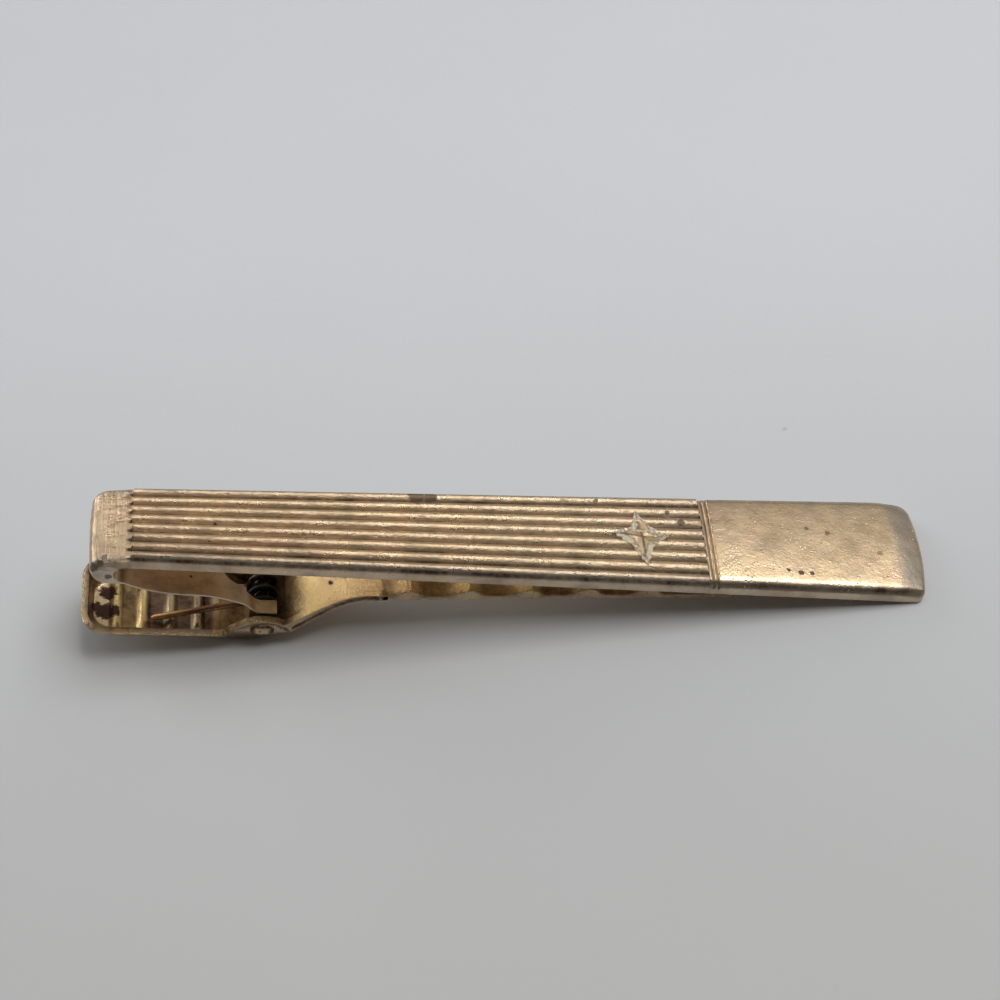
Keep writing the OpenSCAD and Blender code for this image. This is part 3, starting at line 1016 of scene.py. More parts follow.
@dataclass
class FaceBar(ClipPiece):
    """The ribbed face with its panel, the hairpin fold and the forked leg: one strip."""

    sizes: ClipSizes = field(default_factory=ClipSizes)
    ribs: int = 8
    cells_per_rib: int = 12
    rib_depth: float = 0.34
    rib_roundness: float = 2.0
    shoulder_depth: float = 0.5
    shoulder_width: float = 0.72
    shoulder_roundness: float = 2.2
    rib_start_x: float = 2.9
    rib_start_run: float = 0.16
    rib_start_bow: float = 0.05
    rib_start_shake: float = 0.03
    rib_end_x: float = 43.76
    rib_end_run: float = 0.12
    fold_step: float = 0.1
    fold_top: float = -0.06
    border_x: float = 43.98
    border_pitch: float = 0.33
    border_width: float = 0.12
    border_depth: float = 0.12
    panel_margin: float = 1.25
    panel_roll: float = 0.07
    end_bow: float = 0.4
    end_corners: Point = (0.5, 1.35)
    end_bevel: float = 2.0
    end_zone: float = 0.4
    detail_margins: Place = (0.7, -0.16, 0.36)
    row_counts: tuple[int, ...] = (10, 92, 26, 26, 20)
    fold_centre: Point = (1.5, -1.7)
    fold_inner_centre: Point = (2.6, -1.9)
    fold_lead_steps: int = 4
    fold_steps: int = 18
    fold_reach: float = 0.85
    edge_roll: float = 0.16
    strip_round: float = 0.1
    leg_start: Point = (2.6, -2.7)
    leg_end: Point = (13.4, -6.25)
    leg_knees: tuple[Point, ...] = ((0, 0), (0.45, 0.4), (0.78, 0.715), (0.89, 1))
    leg_handles: tuple[Point, ...] = (
        (0.086, 0.18), (0.262, 0.37), (0.581, 0.425), (0.692, 0.58), (0.824, 0.78), (0.846, 0.985),
    )
    leg_row_counts: tuple[int, ...] = (12, 8, 7)
    leg_width: float = 5.7
    slot_width: float = 2.6
    slot_length: float = 4.0
    slot_reach: float = 4.4
    punch_height: float = 3.6
    punch_z: float = -6.2
    coil_window: Point = (11.19, 3.44)
    window_length: float = 4.0
    ear_thickness: float = 0.5
    ear_inset: float = 0.42
    ear_round: float = 0.06
    ear_radius: float = 0.95
    # Even tint of the cut sides, and the painted shade band under the shoulder
    side_shade: Point = (0.1, 0.62)
    # Strength of the painted shade in the grooves: away from, and at, the near edge and left end
    groove_shade: Point = (0.8, 1.0)
    cut_side_coarseness: float = 0.2
    fold_coarseness: float = 1.7
    rib_coarseness: float = 1.1
    drawn_depth: float = 3.0
    blotches: tuple[Blotch, ...] = (
        Blotch((23.0, 3.1, 0.05), 0.7, 0.8), Blotch((24.0, 3.1, 0.05), 0.55, 0.8),
        Blotch((40.0, 3.07, 0.1), 0.28, 0.7), Blotch((41.3, 2.3, 0.2), 0.22, 0.8),
        Blotch((42.2, 1.4, 0.2), 0.3, 0.8), Blotch((36.1, 3.2, 0.1), 0.25, 0.7),
        Blotch((49.6, -2.75, 0.1), 0.17), Blotch((50.5, -2.95, 0.1), 0.22),
        Blotch((51.3, -2.96, 0.1), 0.2), Blotch((51.5, 1.1, 0.2), 0.2, 0.7),
        Blotch((53.0, 0.75, 0.2), 0.22, 0.7), Blotch((56.7, -0.95, 0.15), 0.26, 0.6),
        Blotch((0.35, -3.25, -1.15), 0.5, 0.85), Blotch((0.8, -3.25, -0.75), 0.42, 0.8),
        Blotch((1.15, -2.9, -0.35), 0.3, 0.7), Blotch((1.47, -3.25, -2.05), 0.3, 0.75),
    )
    body = Body.BAR
    slot = Slot.FACE
    node = "front_bar"

    @property
    def end_zone_x(self) -> float:
        """Where the rows start to follow the free end's outline."""
        return self.sizes.bar_length - self.end_bevel - self.end_zone

    def stations(self) -> list[float]:
        """Places along the face at which the blank has its rows, closer at the details.

        Returns:
            The places, from left to right.
        """
        details = (self.rib_start_x, self.rib_end_x, self.border_x + self.border_pitch)
        ends = [x + margin for x, margin in zip(details, self.detail_margins)]
        rows = [self.rib_start_x]
        for end, count in zip(ends + [self.end_zone_x, self.sizes.bar_length], self.row_counts):
            rows += steps(rows[-1], end, count)
        return rows

    def end_x(self, y: float) -> float:
        """Where the free end's bowed and rounded outline lies at y.

        Args:
            y: Place across the bar.

        Returns:
            The place along the bar.
        """
        half = self.sizes.bar_end_width / 2
        corner = self.end_corners[y > 0]
        bow = self.end_bow * (y / half) ** 2
        into_corner = max(0.0, abs(y) - (half - corner))
        rounding = corner - math.sqrt(max(0.0, corner**2 - into_corner**2))
        return self.sizes.bar_length - bow - rounding

    def rib_z(self, x: float, v: float) -> float:
        """Depth of the ribbed surface under the crown.

        Args:
            x: Place along the bar.
            v: Place across it, from -1 to 1 at its edges.

        Returns:
            How far the surface lies below the crowned face.
        """
        place = (v + 1) / 2 * self.ribs
        rib = min(self.ribs - 1, int(place))
        p = 2 * (place - rib) - 1
        outer = (rib == 0 and p < 0) or (rib == self.ribs - 1 and p > 0)
        depth = self.shoulder_depth if outer else self.rib_depth
        sunk = depth * abs(p) ** self.rib_roundness
        start = self.rib_start_x + self.rib_start_bow * p * p
        start += self.rib_start_shake * math.sin(7 * rib + 1)
        risen = eased(x, start, start + self.rib_start_run)
        edge = max(0.0, (abs(v) - 0.86) / 0.14)
        floor = self.fold_step + self.sizes.crown_height + self.edge_roll * edge * edge
        return mix(floor, sunk, risen)

    def panel_z(self, x: float, y: float) -> float:
        """Depth of the smooth panel under the crown, with its rolled margins.

        Args:
            x: Place along the bar.
            y: Place across the bar.

        Returns:
            How far the surface lies below the crowned face.
        """
        half = self.sizes.bar_width(x) / 2
        margin = max(0.0, 1 - (half - abs(y)) / self.panel_margin)
        shoulder = max(0.0, 1 - (half - abs(y)) / self.shoulder_width)
        roll = self.panel_roll * margin**2
        roll += (self.shoulder_depth - self.panel_roll) * shoulder**self.shoulder_roundness
        left = max(0.0, 1 - (x - self.border_x - self.border_pitch - 0.2) / 1.4)
        end = max(0.0, 1 - (self.end_x(y) - x) / self.end_bevel)
        bevel = self.sizes.end_bevel_drop * (0.8 * end**1.5 + 0.2 * end**24)
        return roll + 0.05 * left**2 + bevel

    def border_z(self, x: float, y: float) -> float:
        """Depth of the two border lines, the second of which sways a little.

        Args:
            x: Place along the bar.
            y: Place across the bar.

        Returns:
            How far the surface is cut down.
        """
        sway = 0.025 * math.sin(y * 7.3) + 0.015 * math.sin(y * 17.1 + 1)
        depth = 0.0
        for line in range(2):
            off = (x - sway * line - self.border_x - line * self.border_pitch) / self.border_width
            depth += self.border_depth * math.exp(-off * off * 2.2)
        return depth

    def face_place(self, blank: Vector) -> Place:
        """Formed place of a point of the face's blank.

        Args:
            blank: The point on the flat blank, or on its back.

        Returns:
            The place on the finished face or back.
        """
        rows = self.stations()
        x = rows[round(blank.x * (len(rows) - 1))]
        v = blank.y
        corner_x = self.sizes.bar_length - self.end_bow - max(self.end_corners)
        y = v * self.sizes.bar_width(min(x, corner_x)) / 2
        if x > self.end_zone_x:
            share = (x - self.end_zone_x) / (self.sizes.bar_length - self.end_zone_x)
            x = mix(self.end_zone_x, self.end_x(y), share)
        if blank.z < -0.5:
            return x, y, -self.sizes.bar_thickness
        past = eased(x, self.rib_end_x - self.rib_end_run, self.rib_end_x)
        depth = mix(self.rib_z(x, v), self.panel_z(x, y), past) + self.border_z(x, y)
        return x, y, self.sizes.crown_z(y) - depth

    def leg_path(self) -> list[Point]:
        """Upper surface of the leg, from the fold to its forked end.

        Returns:
            The surface's points, as x and z.
        """
        run = (self.leg_end[0] - self.leg_start[0], self.leg_end[1] - self.leg_start[1])

        def at(share: Point) -> Point:
            """Point of the leg at a share of its run and drop."""
            return self.leg_start[0] + run[0] * share[0], self.leg_start[1] + run[1] * share[1]

        path = [self.leg_start]
        for i, count in enumerate(self.leg_row_counts):
            curve = (
                at(self.leg_knees[i]), at(self.leg_handles[2 * i]),
                at(self.leg_handles[2 * i + 1]), at(self.leg_knees[i + 1]),
            )
            path += [bezier(curve, t) for t in steps(0, 1, count)]
        return path + [(mix(path[-1][0], self.leg_end[0], t), self.leg_end[1]) for t in (0.5, 1)]

    def fold_over(self, strip: Workpiece) -> None:
        """Draws the strip round the hairpin fold, one short turn after another.

        Args:
            strip: The strip, in edit mode.
        """
        outer, inner, leads = self.fold_centre, self.fold_inner_centre, self.fold_lead_steps
        strip.pick_faces(lambda mid, normal: normal.x < -0.8 and mid.x < self.rib_start_x + 0.01)
        fall = (self.fold_top - self.sizes.crown_height + self.fold_step) / leads
        for _ in range(leads):
            strip.extrude()
            ring = strip.selected()
            upper = strip.pick(lambda co: co.z > -self.sizes.bar_thickness + 0.02, among=ring)
            strip.move(x=(outer[0] - self.rib_start_x) / leads, z=fall)
            strip.reselect(ring - upper)
            strip.move(x=(inner[0] - self.rib_start_x) / leads)
            strip.reselect(ring)

        def is_outside(co: Vector) -> bool:
            """Says whether a point is on the outside of the fold."""
            return math.hypot(co.x - inner[0], co.z - inner[1]) > self.fold_reach

        for _ in range(self.fold_steps):
            strip.extrude()
            ring = strip.selected()
            outside = strip.pick(is_outside, among=ring)
            strip.turn(-180 / self.fold_steps, "Y", (outer[0], 0, outer[1]))
            strip.reselect(ring - outside)
            strip.turn(-180 / self.fold_steps, "Y", (inner[0], 0, inner[1]))
            strip.reselect(ring)

    def draw_leg(self, strip: Workpiece) -> None:
        """Draws the leg down from the fold to the flat end that carries the fork.

        Args:
            strip: The strip, in edit mode.
        """
        path = self.leg_path()
        strip.extrude()
        ring = strip.selected()
        strip.pick(lambda co: co.z < path[0][1] - 0.02, among=ring)
        strip.move(x=path[0][0] - self.fold_centre[0])
        strip.reselect(ring)
        last_width = self.sizes.bar_width(path[0][0])
        narrow_x = self.sizes.pivot_x - self.ear_radius
        heading = 0.0
        for i in range(1, len(path)):
            (x0, z0), (x1, z1) = path[i - 1], path[i]
            ahead = path[min(i + 1, len(path) - 1)]
            strip.extrude(x=x1 - x0, z=z1 - z0)
            new = math.degrees(math.atan2(ahead[1] - z0, ahead[0] - x0))
            strip.turn(heading - new, "Y", (x1, 0, z1))
            heading = new
            share = min(1.0, max(0.0, (x1 - self.leg_start[0]) / (narrow_x - self.leg_start[0])))
            width = mix(self.sizes.bar_width(self.leg_start[0]), self.leg_width, share)
            strip.scale(1, width / last_width, 1, (x1, 0, z1))
            last_width = width

    def slot_cutter(self) -> bpy.types.Object:
        """Makes the punch that cuts the fork's slot and the window for the coil.

        Returns:
            The punch, which stands through the leg.
        """
        root = self.leg_end[0] - self.slot_length + self.slot_width / 2
        leave_all()
        bpy.ops.mesh.primitive_cylinder_add(
            vertices=40, radius=self.slot_width / 2, depth=self.punch_height,
            location=(root, 0, self.punch_z),
        )
        punch = Workpiece("slot_punch")
        punch.pick_faces(lambda middle, normal: normal.x > 0.05)
        punch.extrude(x=self.slot_reach)
        punch.scale(0, 1, 1, (root + self.slot_reach, 0, 0))
        punch.tidy()
        leave_all()
        return punch.obj

    def window_cutter(self) -> bpy.types.Object:
        """Makes the punch that widens the slot round the coil.

        Returns:
            The punch, which stands through the leg.
        """
        left, width = self.coil_window
        leave_all()
        bpy.ops.mesh.primitive_cube_add(
            size=1, location=(left + self.window_length / 2, 0, self.punch_z)
        )
        bpy.context.object.scale = (self.window_length, width, self.punch_height)
        punch = Workpiece("window_punch")
        leave_all()
        return punch.obj

    def add_ear(self, side: int) -> bpy.types.Object:
        """Bends down one of the leg's small ears beside the coil.

        Args:
            side: -1 for the near ear, 1 for the far one.

        Returns:
            The ear, overlapping the leg's flat end.
        """
        y = side * (self.leg_width / 2 - self.ear_inset - self.ear_thickness / 2)
        x, z = self.sizes.pivot_x, -self.sizes.pivot_drop
        leave_all()
        bpy.ops.mesh.primitive_cylinder_add(
            vertices=32, radius=self.ear_radius, depth=self.ear_thickness,
            location=(x, y, z), rotation=(math.radians(90), 0, 0),
        )
        ear = Workpiece("leg_ear")
        ear.pick_faces(lambda middle, normal: normal.z > 0.05)
        ear.extrude(z=1)
        ear.scale(1, 1, 0, (x, y, self.leg_end[1] - self.sizes.leg_thickness / 2))
        ear.tidy()
        ear.round_edges(self.ear_round, segments=2, angle=30)
        return ear.obj

    def build(self) -> bpy.types.Object:
        """Presses the face, folds the strip, cuts the fork and settles the piece.

        Returns:
            The finished strip.
        """
        cells = len(self.stations()) - 1
        strip = add_grid(cells, self.ribs * self.cells_per_rib, "face_strip")
        bpy.ops.mesh.select_all(action="SELECT")
        strip.extrude(z=-1)
        strip.tidy()
        strip.form(self.face_place)
        strip.tidy()
        self.fold_over(strip)
        self.draw_leg(strip)
        strip.tidy()
        for punch in (self.slot_cutter(), self.window_cutter()):
            strip.modify("BOOLEAN", object=punch, operation="DIFFERENCE", solver="EXACT")
            bpy.data.objects.remove(punch)
        strip.round_edges(self.strip_round, segments=3, angle=62)
        strip = join([strip.obj, self.add_ear(-1), self.add_ear(1)], "face_strip")
        strip.paint(Layer.SOIL, self.shade_and_dirt_at)
        strip.paint(Layer.WORN, self.worn_at)
        strip.paint(Layer.COARSE, self.coarse_at)
        strip.paint(Layer.DRAWN, self.drawn_at)
        return strip.settle(self.sizes)

    def rib_place(self, co: Vector) -> float:
        """Place across a rib, from -1 in its near groove to 1 in its far one."""
        place = (co.y / self.sizes.bar_width(co.x) + 0.5) * self.ribs
        return 2 * (place - math.floor(place)) - 1

    def below_face(self, co: Vector) -> bool:
        """Says whether a point is on the leg or the lower half of the fold."""
        return co.z < -self.sizes.bar_thickness - 0.05

    def shade_and_dirt_at(self, co: Vector, normal: Vector) -> float:
        """Painted shade and dirt on the strip: in the grooves, under the shoulders, at the ribs'
        ends, on the leg and inside the fold.

        Args:
            co: The point on the level clip.
            normal: The surface's normal there.

        Returns:
            How thick the dirt lies, from 0 for none.
        """
        if self.below_face(co):
            return self.leg_shade(co, normal)
        if co.z < -0.5:
            return 0.2 if co.x < 3 else 0.1
        # Painted shade: a dark band along the top of each cut side, under the shoulder
        if co.x > 2 and abs(normal.y) > 0.45:
            least, more = self.side_shade
            return least + more * banded(-co.z, (0.0, 0.14), (0.28, 0.42))
        across = co.y / self.sizes.bar_width(co.x)
        if co.x <= self.rib_start_x:
            return self.fold_shade(co.x, across)
        if co.x < self.rib_end_x:
            return self.rib_shade_and_dirt(co, across)
        off = [abs(co.x - self.border_x - i * self.border_pitch) for i in range(2)]
        return 0.4 * (1 - eased(min(off), 0.02, 0.1))

    def leg_shade(self, co: Vector, normal: Vector) -> float:
        """Painted shade on the leg, which lies under the bar: more away from the fold and on its
        upper side.

        Args:
            co: The point on the level clip.
            normal: The surface's normal there.

        Returns:
            How thick the dirt lies, from 0 for none.
        """
        if abs(normal.y) > 0.6:
            return 0.04
        return 0.1 + 0.22 * eased(co.x, 0.4, 2.4) * (1.0 if normal.z > 0.2 else 0.7)

    def fold_shade(self, x: float, across: float) -> float:
        """Painted shade on the top of the fold: at its near and left edges and where the ribs
        start.

        Args:
            x: Place along the bar.
            across: Place across the bar, from -0.5 to 0.5.

        Returns:
            How thick the dirt lies, from 0 for none.
        """
        near = 0.5 * eased(-across, 0.43, 0.5) * eased(x, 0.0, 2.5)
        left = 0.22 * (1 - eased(x, 0.3, 1.6))
        return max(near, left, 0.5 * eased(x, self.rib_start_x - 0.3, self.rib_start_x))

    def rib_shade_and_dirt(self, co: Vector, across: float) -> float:
        """Painted shade down each rib's near slope and in its far groove, with dirt: deepest at the
        left and along the near edge.

        Args:
            co: The point on the level clip.
            across: Place across the bar, from -0.5 to 0.5.

        Returns:
            How thick the dirt lies, from 0 for none.
        """
        p = self.rib_place(co)
        near = 1 - eased(across, -0.5, 0.45)
        left = 1 - eased(co.x, 9, 25)
        begin = mix(0.58, 0.34, left)
        # Painted shade on each rib's near slope and in its far groove; the last term darkens the
        # left end, most at the near edge, as dirt and painted shade
        groove = eased(-p, begin, begin + 0.16) + eased(p, 0.8, 1.0) * 0.5
        return groove * mix(*self.groove_shade, max(near, left)) + left * (0.12 + 0.12 * near)

    def worn_at(self, co: Vector, normal: Vector) -> float:
        """Greyness from wear: on the edges, at the panel's margins and on the cut sides.

        Args:
            co: The point on the level clip.
            normal: The surface's normal there.

        Returns:
            The greyness that is added, or taken off where it is below 0.
        """
        if self.below_face(co):
            return 0.6 if abs(normal.y) > 0.6 else -0.2
        half, length = self.sizes.bar_width(co.x) / 2, self.sizes.bar_length
        edge = eased(abs(co.y), half - 0.9, half - 0.1)
        if co.x > self.border_x:
            return 0.6 * max(edge, eased(co.x, length - 2.6, length - 1.2)) - 0.08
        return 0.4 * edge + 0.25 * eased(co.x, 20, 44) - 0.1

    def coarse_at(self, co: Vector, normal: Vector) -> float:
        """Extra coarseness of the grain: most on the fold, less on the ribs and cut sides.

        Args:
            co: The point on the level clip.
            normal: The surface's normal there.

        Returns:
            The coarseness that is added.
        """
        if self.below_face(co) or co.z < -0.62:
            return self.cut_side_coarseness
        if co.x < self.rib_start_x:
            return self.fold_coarseness
        return self.rib_coarseness if co.x < self.rib_end_x else 0.0

    def drawn_at(self, co: Vector, normal: Vector) -> float:
        """Marks drawn across the strip, which only the top of the fold has.

        Args:
            co: The point on the level clip.
            normal: The surface's normal there.

        Returns:
            How deep the marks are.
        """
        if self.below_face(co):
            return 0.0
        return self.drawn_depth * (1 - eased(co.x, 2.5, self.rib_start_x))

    def finishes(self) -> tuple[WornPlating, ...]:
        """Worn plating with its dark blotches."""
        return (WornPlating("worn face plating", smears=1.0, blotches=self.blotches),)


# ---------------------------------------------------------------------------
# Lever, pin and spring
# ---------------------------------------------------------------------------


@dataclass
class JawLever(ClipPiece):
    """The pressed lever: ribbed thumb tray, two ears, bent channel arm and toothed jaw."""

    sizes: ClipSizes = field(default_factory=ClipSizes)
    rim_width: float = 7.0
    base_width: float = 4.9
    tray_corner: float = 1.6
    tray_base_round: float = 0.42
    tray_cuts: tuple[int, int, int] = (84, 14, 7)
    tray_end_x: float = 9.6
    rim_flattening: float = 0.09
    rim_round: float = 0.13
    arm_round: float = 0.1
    jaw_round: float = 0.07
    rim_dip: float = 0.25
    rim_dip_run: float = 0.5
    tray_ribs: tuple[float, ...] = (2.05, 4.0, 5.95, 7.9)
    tray_rib_width: float = 1.05
    tray_rib_height: float = 0.3
    ear_centre: Point = (12.5, -9.1)
    ear_radius: float = 2.6
    ear_lean: float = 0.44
    ear_lean_run: float = 1.2
    arm_start_x: float = 9.4
    arm_walls: int = 9
    arm_floor: int = 10
    arm_handles: tuple[Point, ...] = ((0.29, 0.14), (0.33, 0.66))
    flange_height: float = 0.4
    flange_end: float = 0.2
    waist: tuple[float, ...] = (0.25, 0.75, 0.8)
    teeth: int = 5
    tooth_pitch: float = 4.3
    tooth_height: float = 0.6
    tooth_rise: float = 0.46
    tooth_fall: float = 0.25
    jaw_corner: float = 1.0
    lip_length: float = 0.7
    lip_gap: float = 0.07
    clean_inside: float = -0.25
    clean_outside: float = -0.2
    blotches: tuple[Blotch, ...] = (
        Blotch((1.5, 0.96, -9.4), 0.75, 1.0), Blotch((1.2, -0.7, -9.4), 0.8, 1.0),
        Blotch((1.85, -0.75, -9.3), 0.6, 1.0), Blotch((0.6, -0.3, -9.4), 0.5, 1.0),
        Blotch((5.6, -1.5, -9.4), 0.7, 0.8), Blotch((17.25, -0.9, -5.2), 0.24, 1.0),
        Blotch((17.2, -1.1, -5.6), 0.24, 1.0),
    )
    body = Body.LEVER
    slot = Slot.LEVER
    node = "jaw_lever"

    @property
    def wall_lean(self) -> float:
        """How far a wall leans out for each millimetre that it rises."""
        return (self.rim_width - self.base_width) / 2 / (self.sizes.tray_depth + self.sizes.sheet)

    def tray(self) -> bpy.types.Object:
        """Raises the thumb tray from a block, hollows it and presses in its ribs.

        Returns:
            The tray, open towards the ears.
        """
        s = self.sizes
        left, right, depth = -s.tray_overhang, self.tray_end_x, s.tray_depth + s.sheet
        middle = ((left + right) / 2, 0, -s.rim_drop - depth / 2)
        leave_all()
        bpy.ops.mesh.primitive_cube_add(size=1, location=middle)
        bpy.context.object.scale = (right - left, self.rim_width, depth)
        tray = Workpiece("tray")
        tray.pick(lambda co: co.z < middle[2])
        tray.scale(1, self.base_width / self.rim_width, 1, (0, 0, 0))
        tray.pick(lambda co: co.z < middle[2] and co.x < middle[0])
        tray.move(x=s.sheet)
        tray.pick_edges(lambda a, b: a.x < middle[0] and b.x < middle[0] and abs(a.z - b.z) > 1)
        bpy.ops.mesh.bevel(offset=self.tray_corner, segments=9, affect="EDGES")
        tray.pick_edges(lambda a, b: max(a.z, b.z) < middle[2] and min(a.x, b.x) < right - 0.1)
        bpy.ops.mesh.bevel(offset=self.tray_base_round, segments=4, affect="EDGES")
        tray.pick_faces(lambda mid, normal: mid.z > -s.rim_drop - 0.01 or mid.x > right - 0.01)
        bpy.ops.mesh.delete(type="FACE")
        tray.tidy()
        half = self.rim_width / 2
        spans = ((left, right), (-half, half), (-s.rim_drop, -s.rim_drop - depth))
        for axis, (span, cuts) in enumerate(zip(spans, self.tray_cuts)):
            tray.cut_across(axis, steps(*span, cuts)[:-1])
        tray.thicken(s.sheet)
        tray.resume()
        tray.pick(lambda co: co.z > -s.rim_drop + 0.1 and co.x > self.tray_corner)
        tray.move(z=-self.rim_flattening)
        tray.round_edges(self.rim_round, segments=3, angle=50)
        return tray.obj

    def tray_rib(self, x: float) -> bpy.types.Object:
        """Presses one low rounded rib across the tray's floor.

        Args:
            x: Middle of the rib along the tray.

        Returns:
            The rib, sunk a little into the floor.
        """
        s = self.sizes
        floor = -s.rim_drop - s.tray_depth
        half = self.tray_rib_width / 2
        rib = add_grid(across_x=10, across_y=12, name="tray_rib")
        bpy.ops.mesh.select_all(action="SELECT")
        rib.extrude(z=-1)
        rib.tidy()

        def place(blank: Vector) -> Place:
            """Formed place of a point of the rib's blank.

            Args:
                blank: The point on the flat blank.

            Returns:
                The place on the formed piece.
            """
            u = 2 * blank.x - 1
            reach = self.base_width / 2 + 0.05
            top = self.tray_rib_height * math.cos(u * math.pi / 2) ** 1.3
            end = max(0.0, abs(blank.y) - 0.8) / 0.2
            height = top * (1 - 0.5 * end * end) if blank.z > -0.5 else -0.12
            return x + u * half, blank.y * reach, floor + height

        rib.form(place)
        rib.tidy()
        leave_all()
        return rib.obj

    def underside(self, t: float) -> Point:
        """Point on the arm's underside, t of the way from the heel to the jaw's root.

        Args:
            t: Place along the underside, from 0 to 1.

        Returns:
            The point's x and z.
        """
        s = self.sizes
        run, rise = s.jaw_root_x - s.heel_x, s.base_drop - s.jaw_root_drop

        def at(share: Point) -> Point:
            """Point of the arm at a share of its run and rise."""
            return s.heel_x + run * share[0], -s.base_drop + rise * share[1]

        return bezier((at((0, 0)), at(self.arm_handles[0]), at(self.arm_handles[1]), at((1, 1))), t)

    def underside_z(self, x: float) -> float:
        """Height of the arm's underside at x."""
        line = [self.underside(t) for t in steps(0, 1, 40)]
        return min(line, key=lambda point: abs(point[0] - x))[1]

    def half_width(self, x: float) -> float:
        """Half of the lever's width beside the ears and along the arm.

        Args:
            x: Place along the lever.

        Returns:
            The half width.
        """
        s = self.sizes
        a, b, c = (s.pivot_x + s.jaw_reach * share for share in self.waist)
        waisted = mix(s.ear_span, s.waist_width, eased(x, a, b))
        return mix(waisted, s.jaw_width, eased(x, c, s.jaw_root_x)) / 2

    def wall_top(self, x: float, z: float, slope: float) -> float:
        """Height of the lever's wall: tray rim, ear or flange, whichever is highest.

        Args:
            x: Place along the lever.
            z: Height of the underside there.
            slope: Rise of the underside for each millimetre.

        Returns:
            The height of the wall's top.
        """
        s = self.sizes
        cx, cz = self.ear_centre
        rise = self.flange_height * mix(1, self.flange_end, eased(x, cx, s.jaw_root_x))
        top = z + (s.sheet + rise) * math.hypot(1, slope)
        if x < cx:
            dip = 1 - eased(x, self.arm_start_x, self.arm_start_x + self.rim_dip_run)
            top = max(top, -s.rim_drop - self.rim_dip * dip)
        if abs(x - cx) < self.ear_radius:
            top = max(top, cz + math.sqrt(self.ear_radius**2 - (x - cx) ** 2))
        return top

    def arm(self) -> bpy.types.Object:
        """Forms the channel with its two ears from a flat blank.

        Returns:
            The channel, which runs from the tray's end into the jaw.
        """
        s, walls, floor = self.sizes, self.arm_walls, self.arm_floor
        flat = [self.arm_start_x] + steps(self.arm_start_x, s.heel_x, 14)
        line = [(x, -s.base_drop) for x in flat]
        line += [self.underside(t) for t in steps(0, 1, 66)]
        line += [(x, s.jaw_underside(x)) for x in steps(s.jaw_root_x, s.jaw_root_x + 0.4, 2)]
        arm = add_grid(len(line) - 1, 2 * walls + floor, "arm")

        def place(blank: Vector) -> Place:
            """Formed place of a point of the arm's blank.

            Args:
                blank: The point on the flat blank.

            Returns:
                The place on the formed piece.
            """
            i = round(blank.x * (len(line) - 1))
            (x0, z0), (x1, z1) = line[max(0, i - 1)], line[min(i + 1, len(line) - 1)]
            x, z = line[i]
            column = round((blank.y + 1) / 2 * (2 * walls + floor)) - walls - floor / 2
            side, steps_up = math.copysign(1, column), max(0.0, abs(column) - floor / 2)
            limit = self.half_width(x)
            leaning = eased(x, self.arm_start_x, self.arm_start_x + self.ear_lean_run)
            lean = mix(self.wall_lean, self.ear_lean, leaning)

            def half_at(height: float) -> float:
                """Half width between the walls' outsides at a height."""
                return min(self.base_width / 2 + lean * (height + s.base_drop), limit)

            if steps_up == 0:
                return x, column / (floor / 2) * half_at(z), z
            top = self.wall_top(x, z, (z1 - z0) / (x1 - x0))
            height = mix(z, top, steps_up / walls)
            return x, side * half_at(height), height

        arm.form(place)
        arm.tidy()
        arm.thicken(s.sheet)
        arm.round_edges(self.arm_round, segments=2, angle=40)
        return arm.obj

    def jaw_top(self, x: float) -> float:
        """Height of the jaw's toothed upper side at x.

        Args:
            x: Place along the lever.

        Returns:
            The height.
        """
        s = self.sizes
        plate = s.jaw_underside(x) + s.sheet
        tooth = (x - s.jaw_root_x) / self.tooth_pitch
        place = tooth - math.floor(tooth)
        if 0 <= tooth < self.teeth and place < self.tooth_rise:
            return plate + self.tooth_height * (place / self.tooth_rise) ** 1.15
        if 0 <= tooth < self.teeth and place < self.tooth_rise + self.tooth_fall:
            return plate + self.tooth_height * (1 - (place - self.tooth_rise) / self.tooth_fall)
        lip = eased(x, s.jaw_tip_x - 2 * self.lip_length, s.jaw_tip_x - self.lip_length)
        return mix(plate, -s.bar_thickness - self.lip_gap, lip)

    def jaw(self) -> bpy.types.Object:
        """Presses the toothed jaw with its turned-up lip.

        Returns:
            The jaw, overlapping the arm at its root.
        """
        s = self.sizes
        start = s.jaw_root_x - 0.2
        jaw = add_grid(across_x=156, across_y=14, name="jaw")
        bpy.ops.mesh.select_all(action="SELECT")
        jaw.extrude(z=-1)
        jaw.tidy()

        def place(blank: Vector) -> Place:
            """Formed place of a point of the jaw's blank.

            Args:
                blank: The point on the flat blank.

            Returns:
                The place on the formed piece.
            """
            x = mix(start, s.jaw_tip_x, blank.x)
            into = max(0.0, x - (s.jaw_tip_x - self.jaw_corner))
            half = s.jaw_width / 2 - self.jaw_corner + math.sqrt(self.jaw_corner**2 - into * into)
            z = self.jaw_top(x) if blank.z > -0.5 else s.jaw_underside(x)
            return x, blank.y * half, z

        jaw.form(place)
        jaw.tidy()
        jaw.round_edges(self.jaw_round, segments=2, angle=60)
        return jaw.obj

    def build(self) -> bpy.types.Object:
        """Makes tray, arm and jaw and joins them into the one pressing.

        Returns:
            The finished lever.
        """
        pieces = [self.tray(), self.arm(), self.jaw()]
        pieces += [self.tray_rib(x) for x in self.tray_ribs]
        lever = join(pieces, "pressed_lever")
        lever.paint(Layer.SOIL, self.shade_and_dirt_at)
        lever.paint(Layer.WORN, self.worn_at)
        lever.paint(Layer.COARSE, self.coarse_at)
        return lever.settle(self.sizes)

    def is_inner(self, co: Vector, normal: Vector) -> bool:
        """Says whether a point lies on the inside of the tray or the channel."""
        return normal.z > 0.3 or normal.y * co.y < -0.2

    def inside_ear(self, co: Vector) -> float:
        """How far inside the ear's round outline a point lies."""
        return self.ear_radius - math.hypot(co.x - self.ear_centre[0], co.z - self.ear_centre[1])

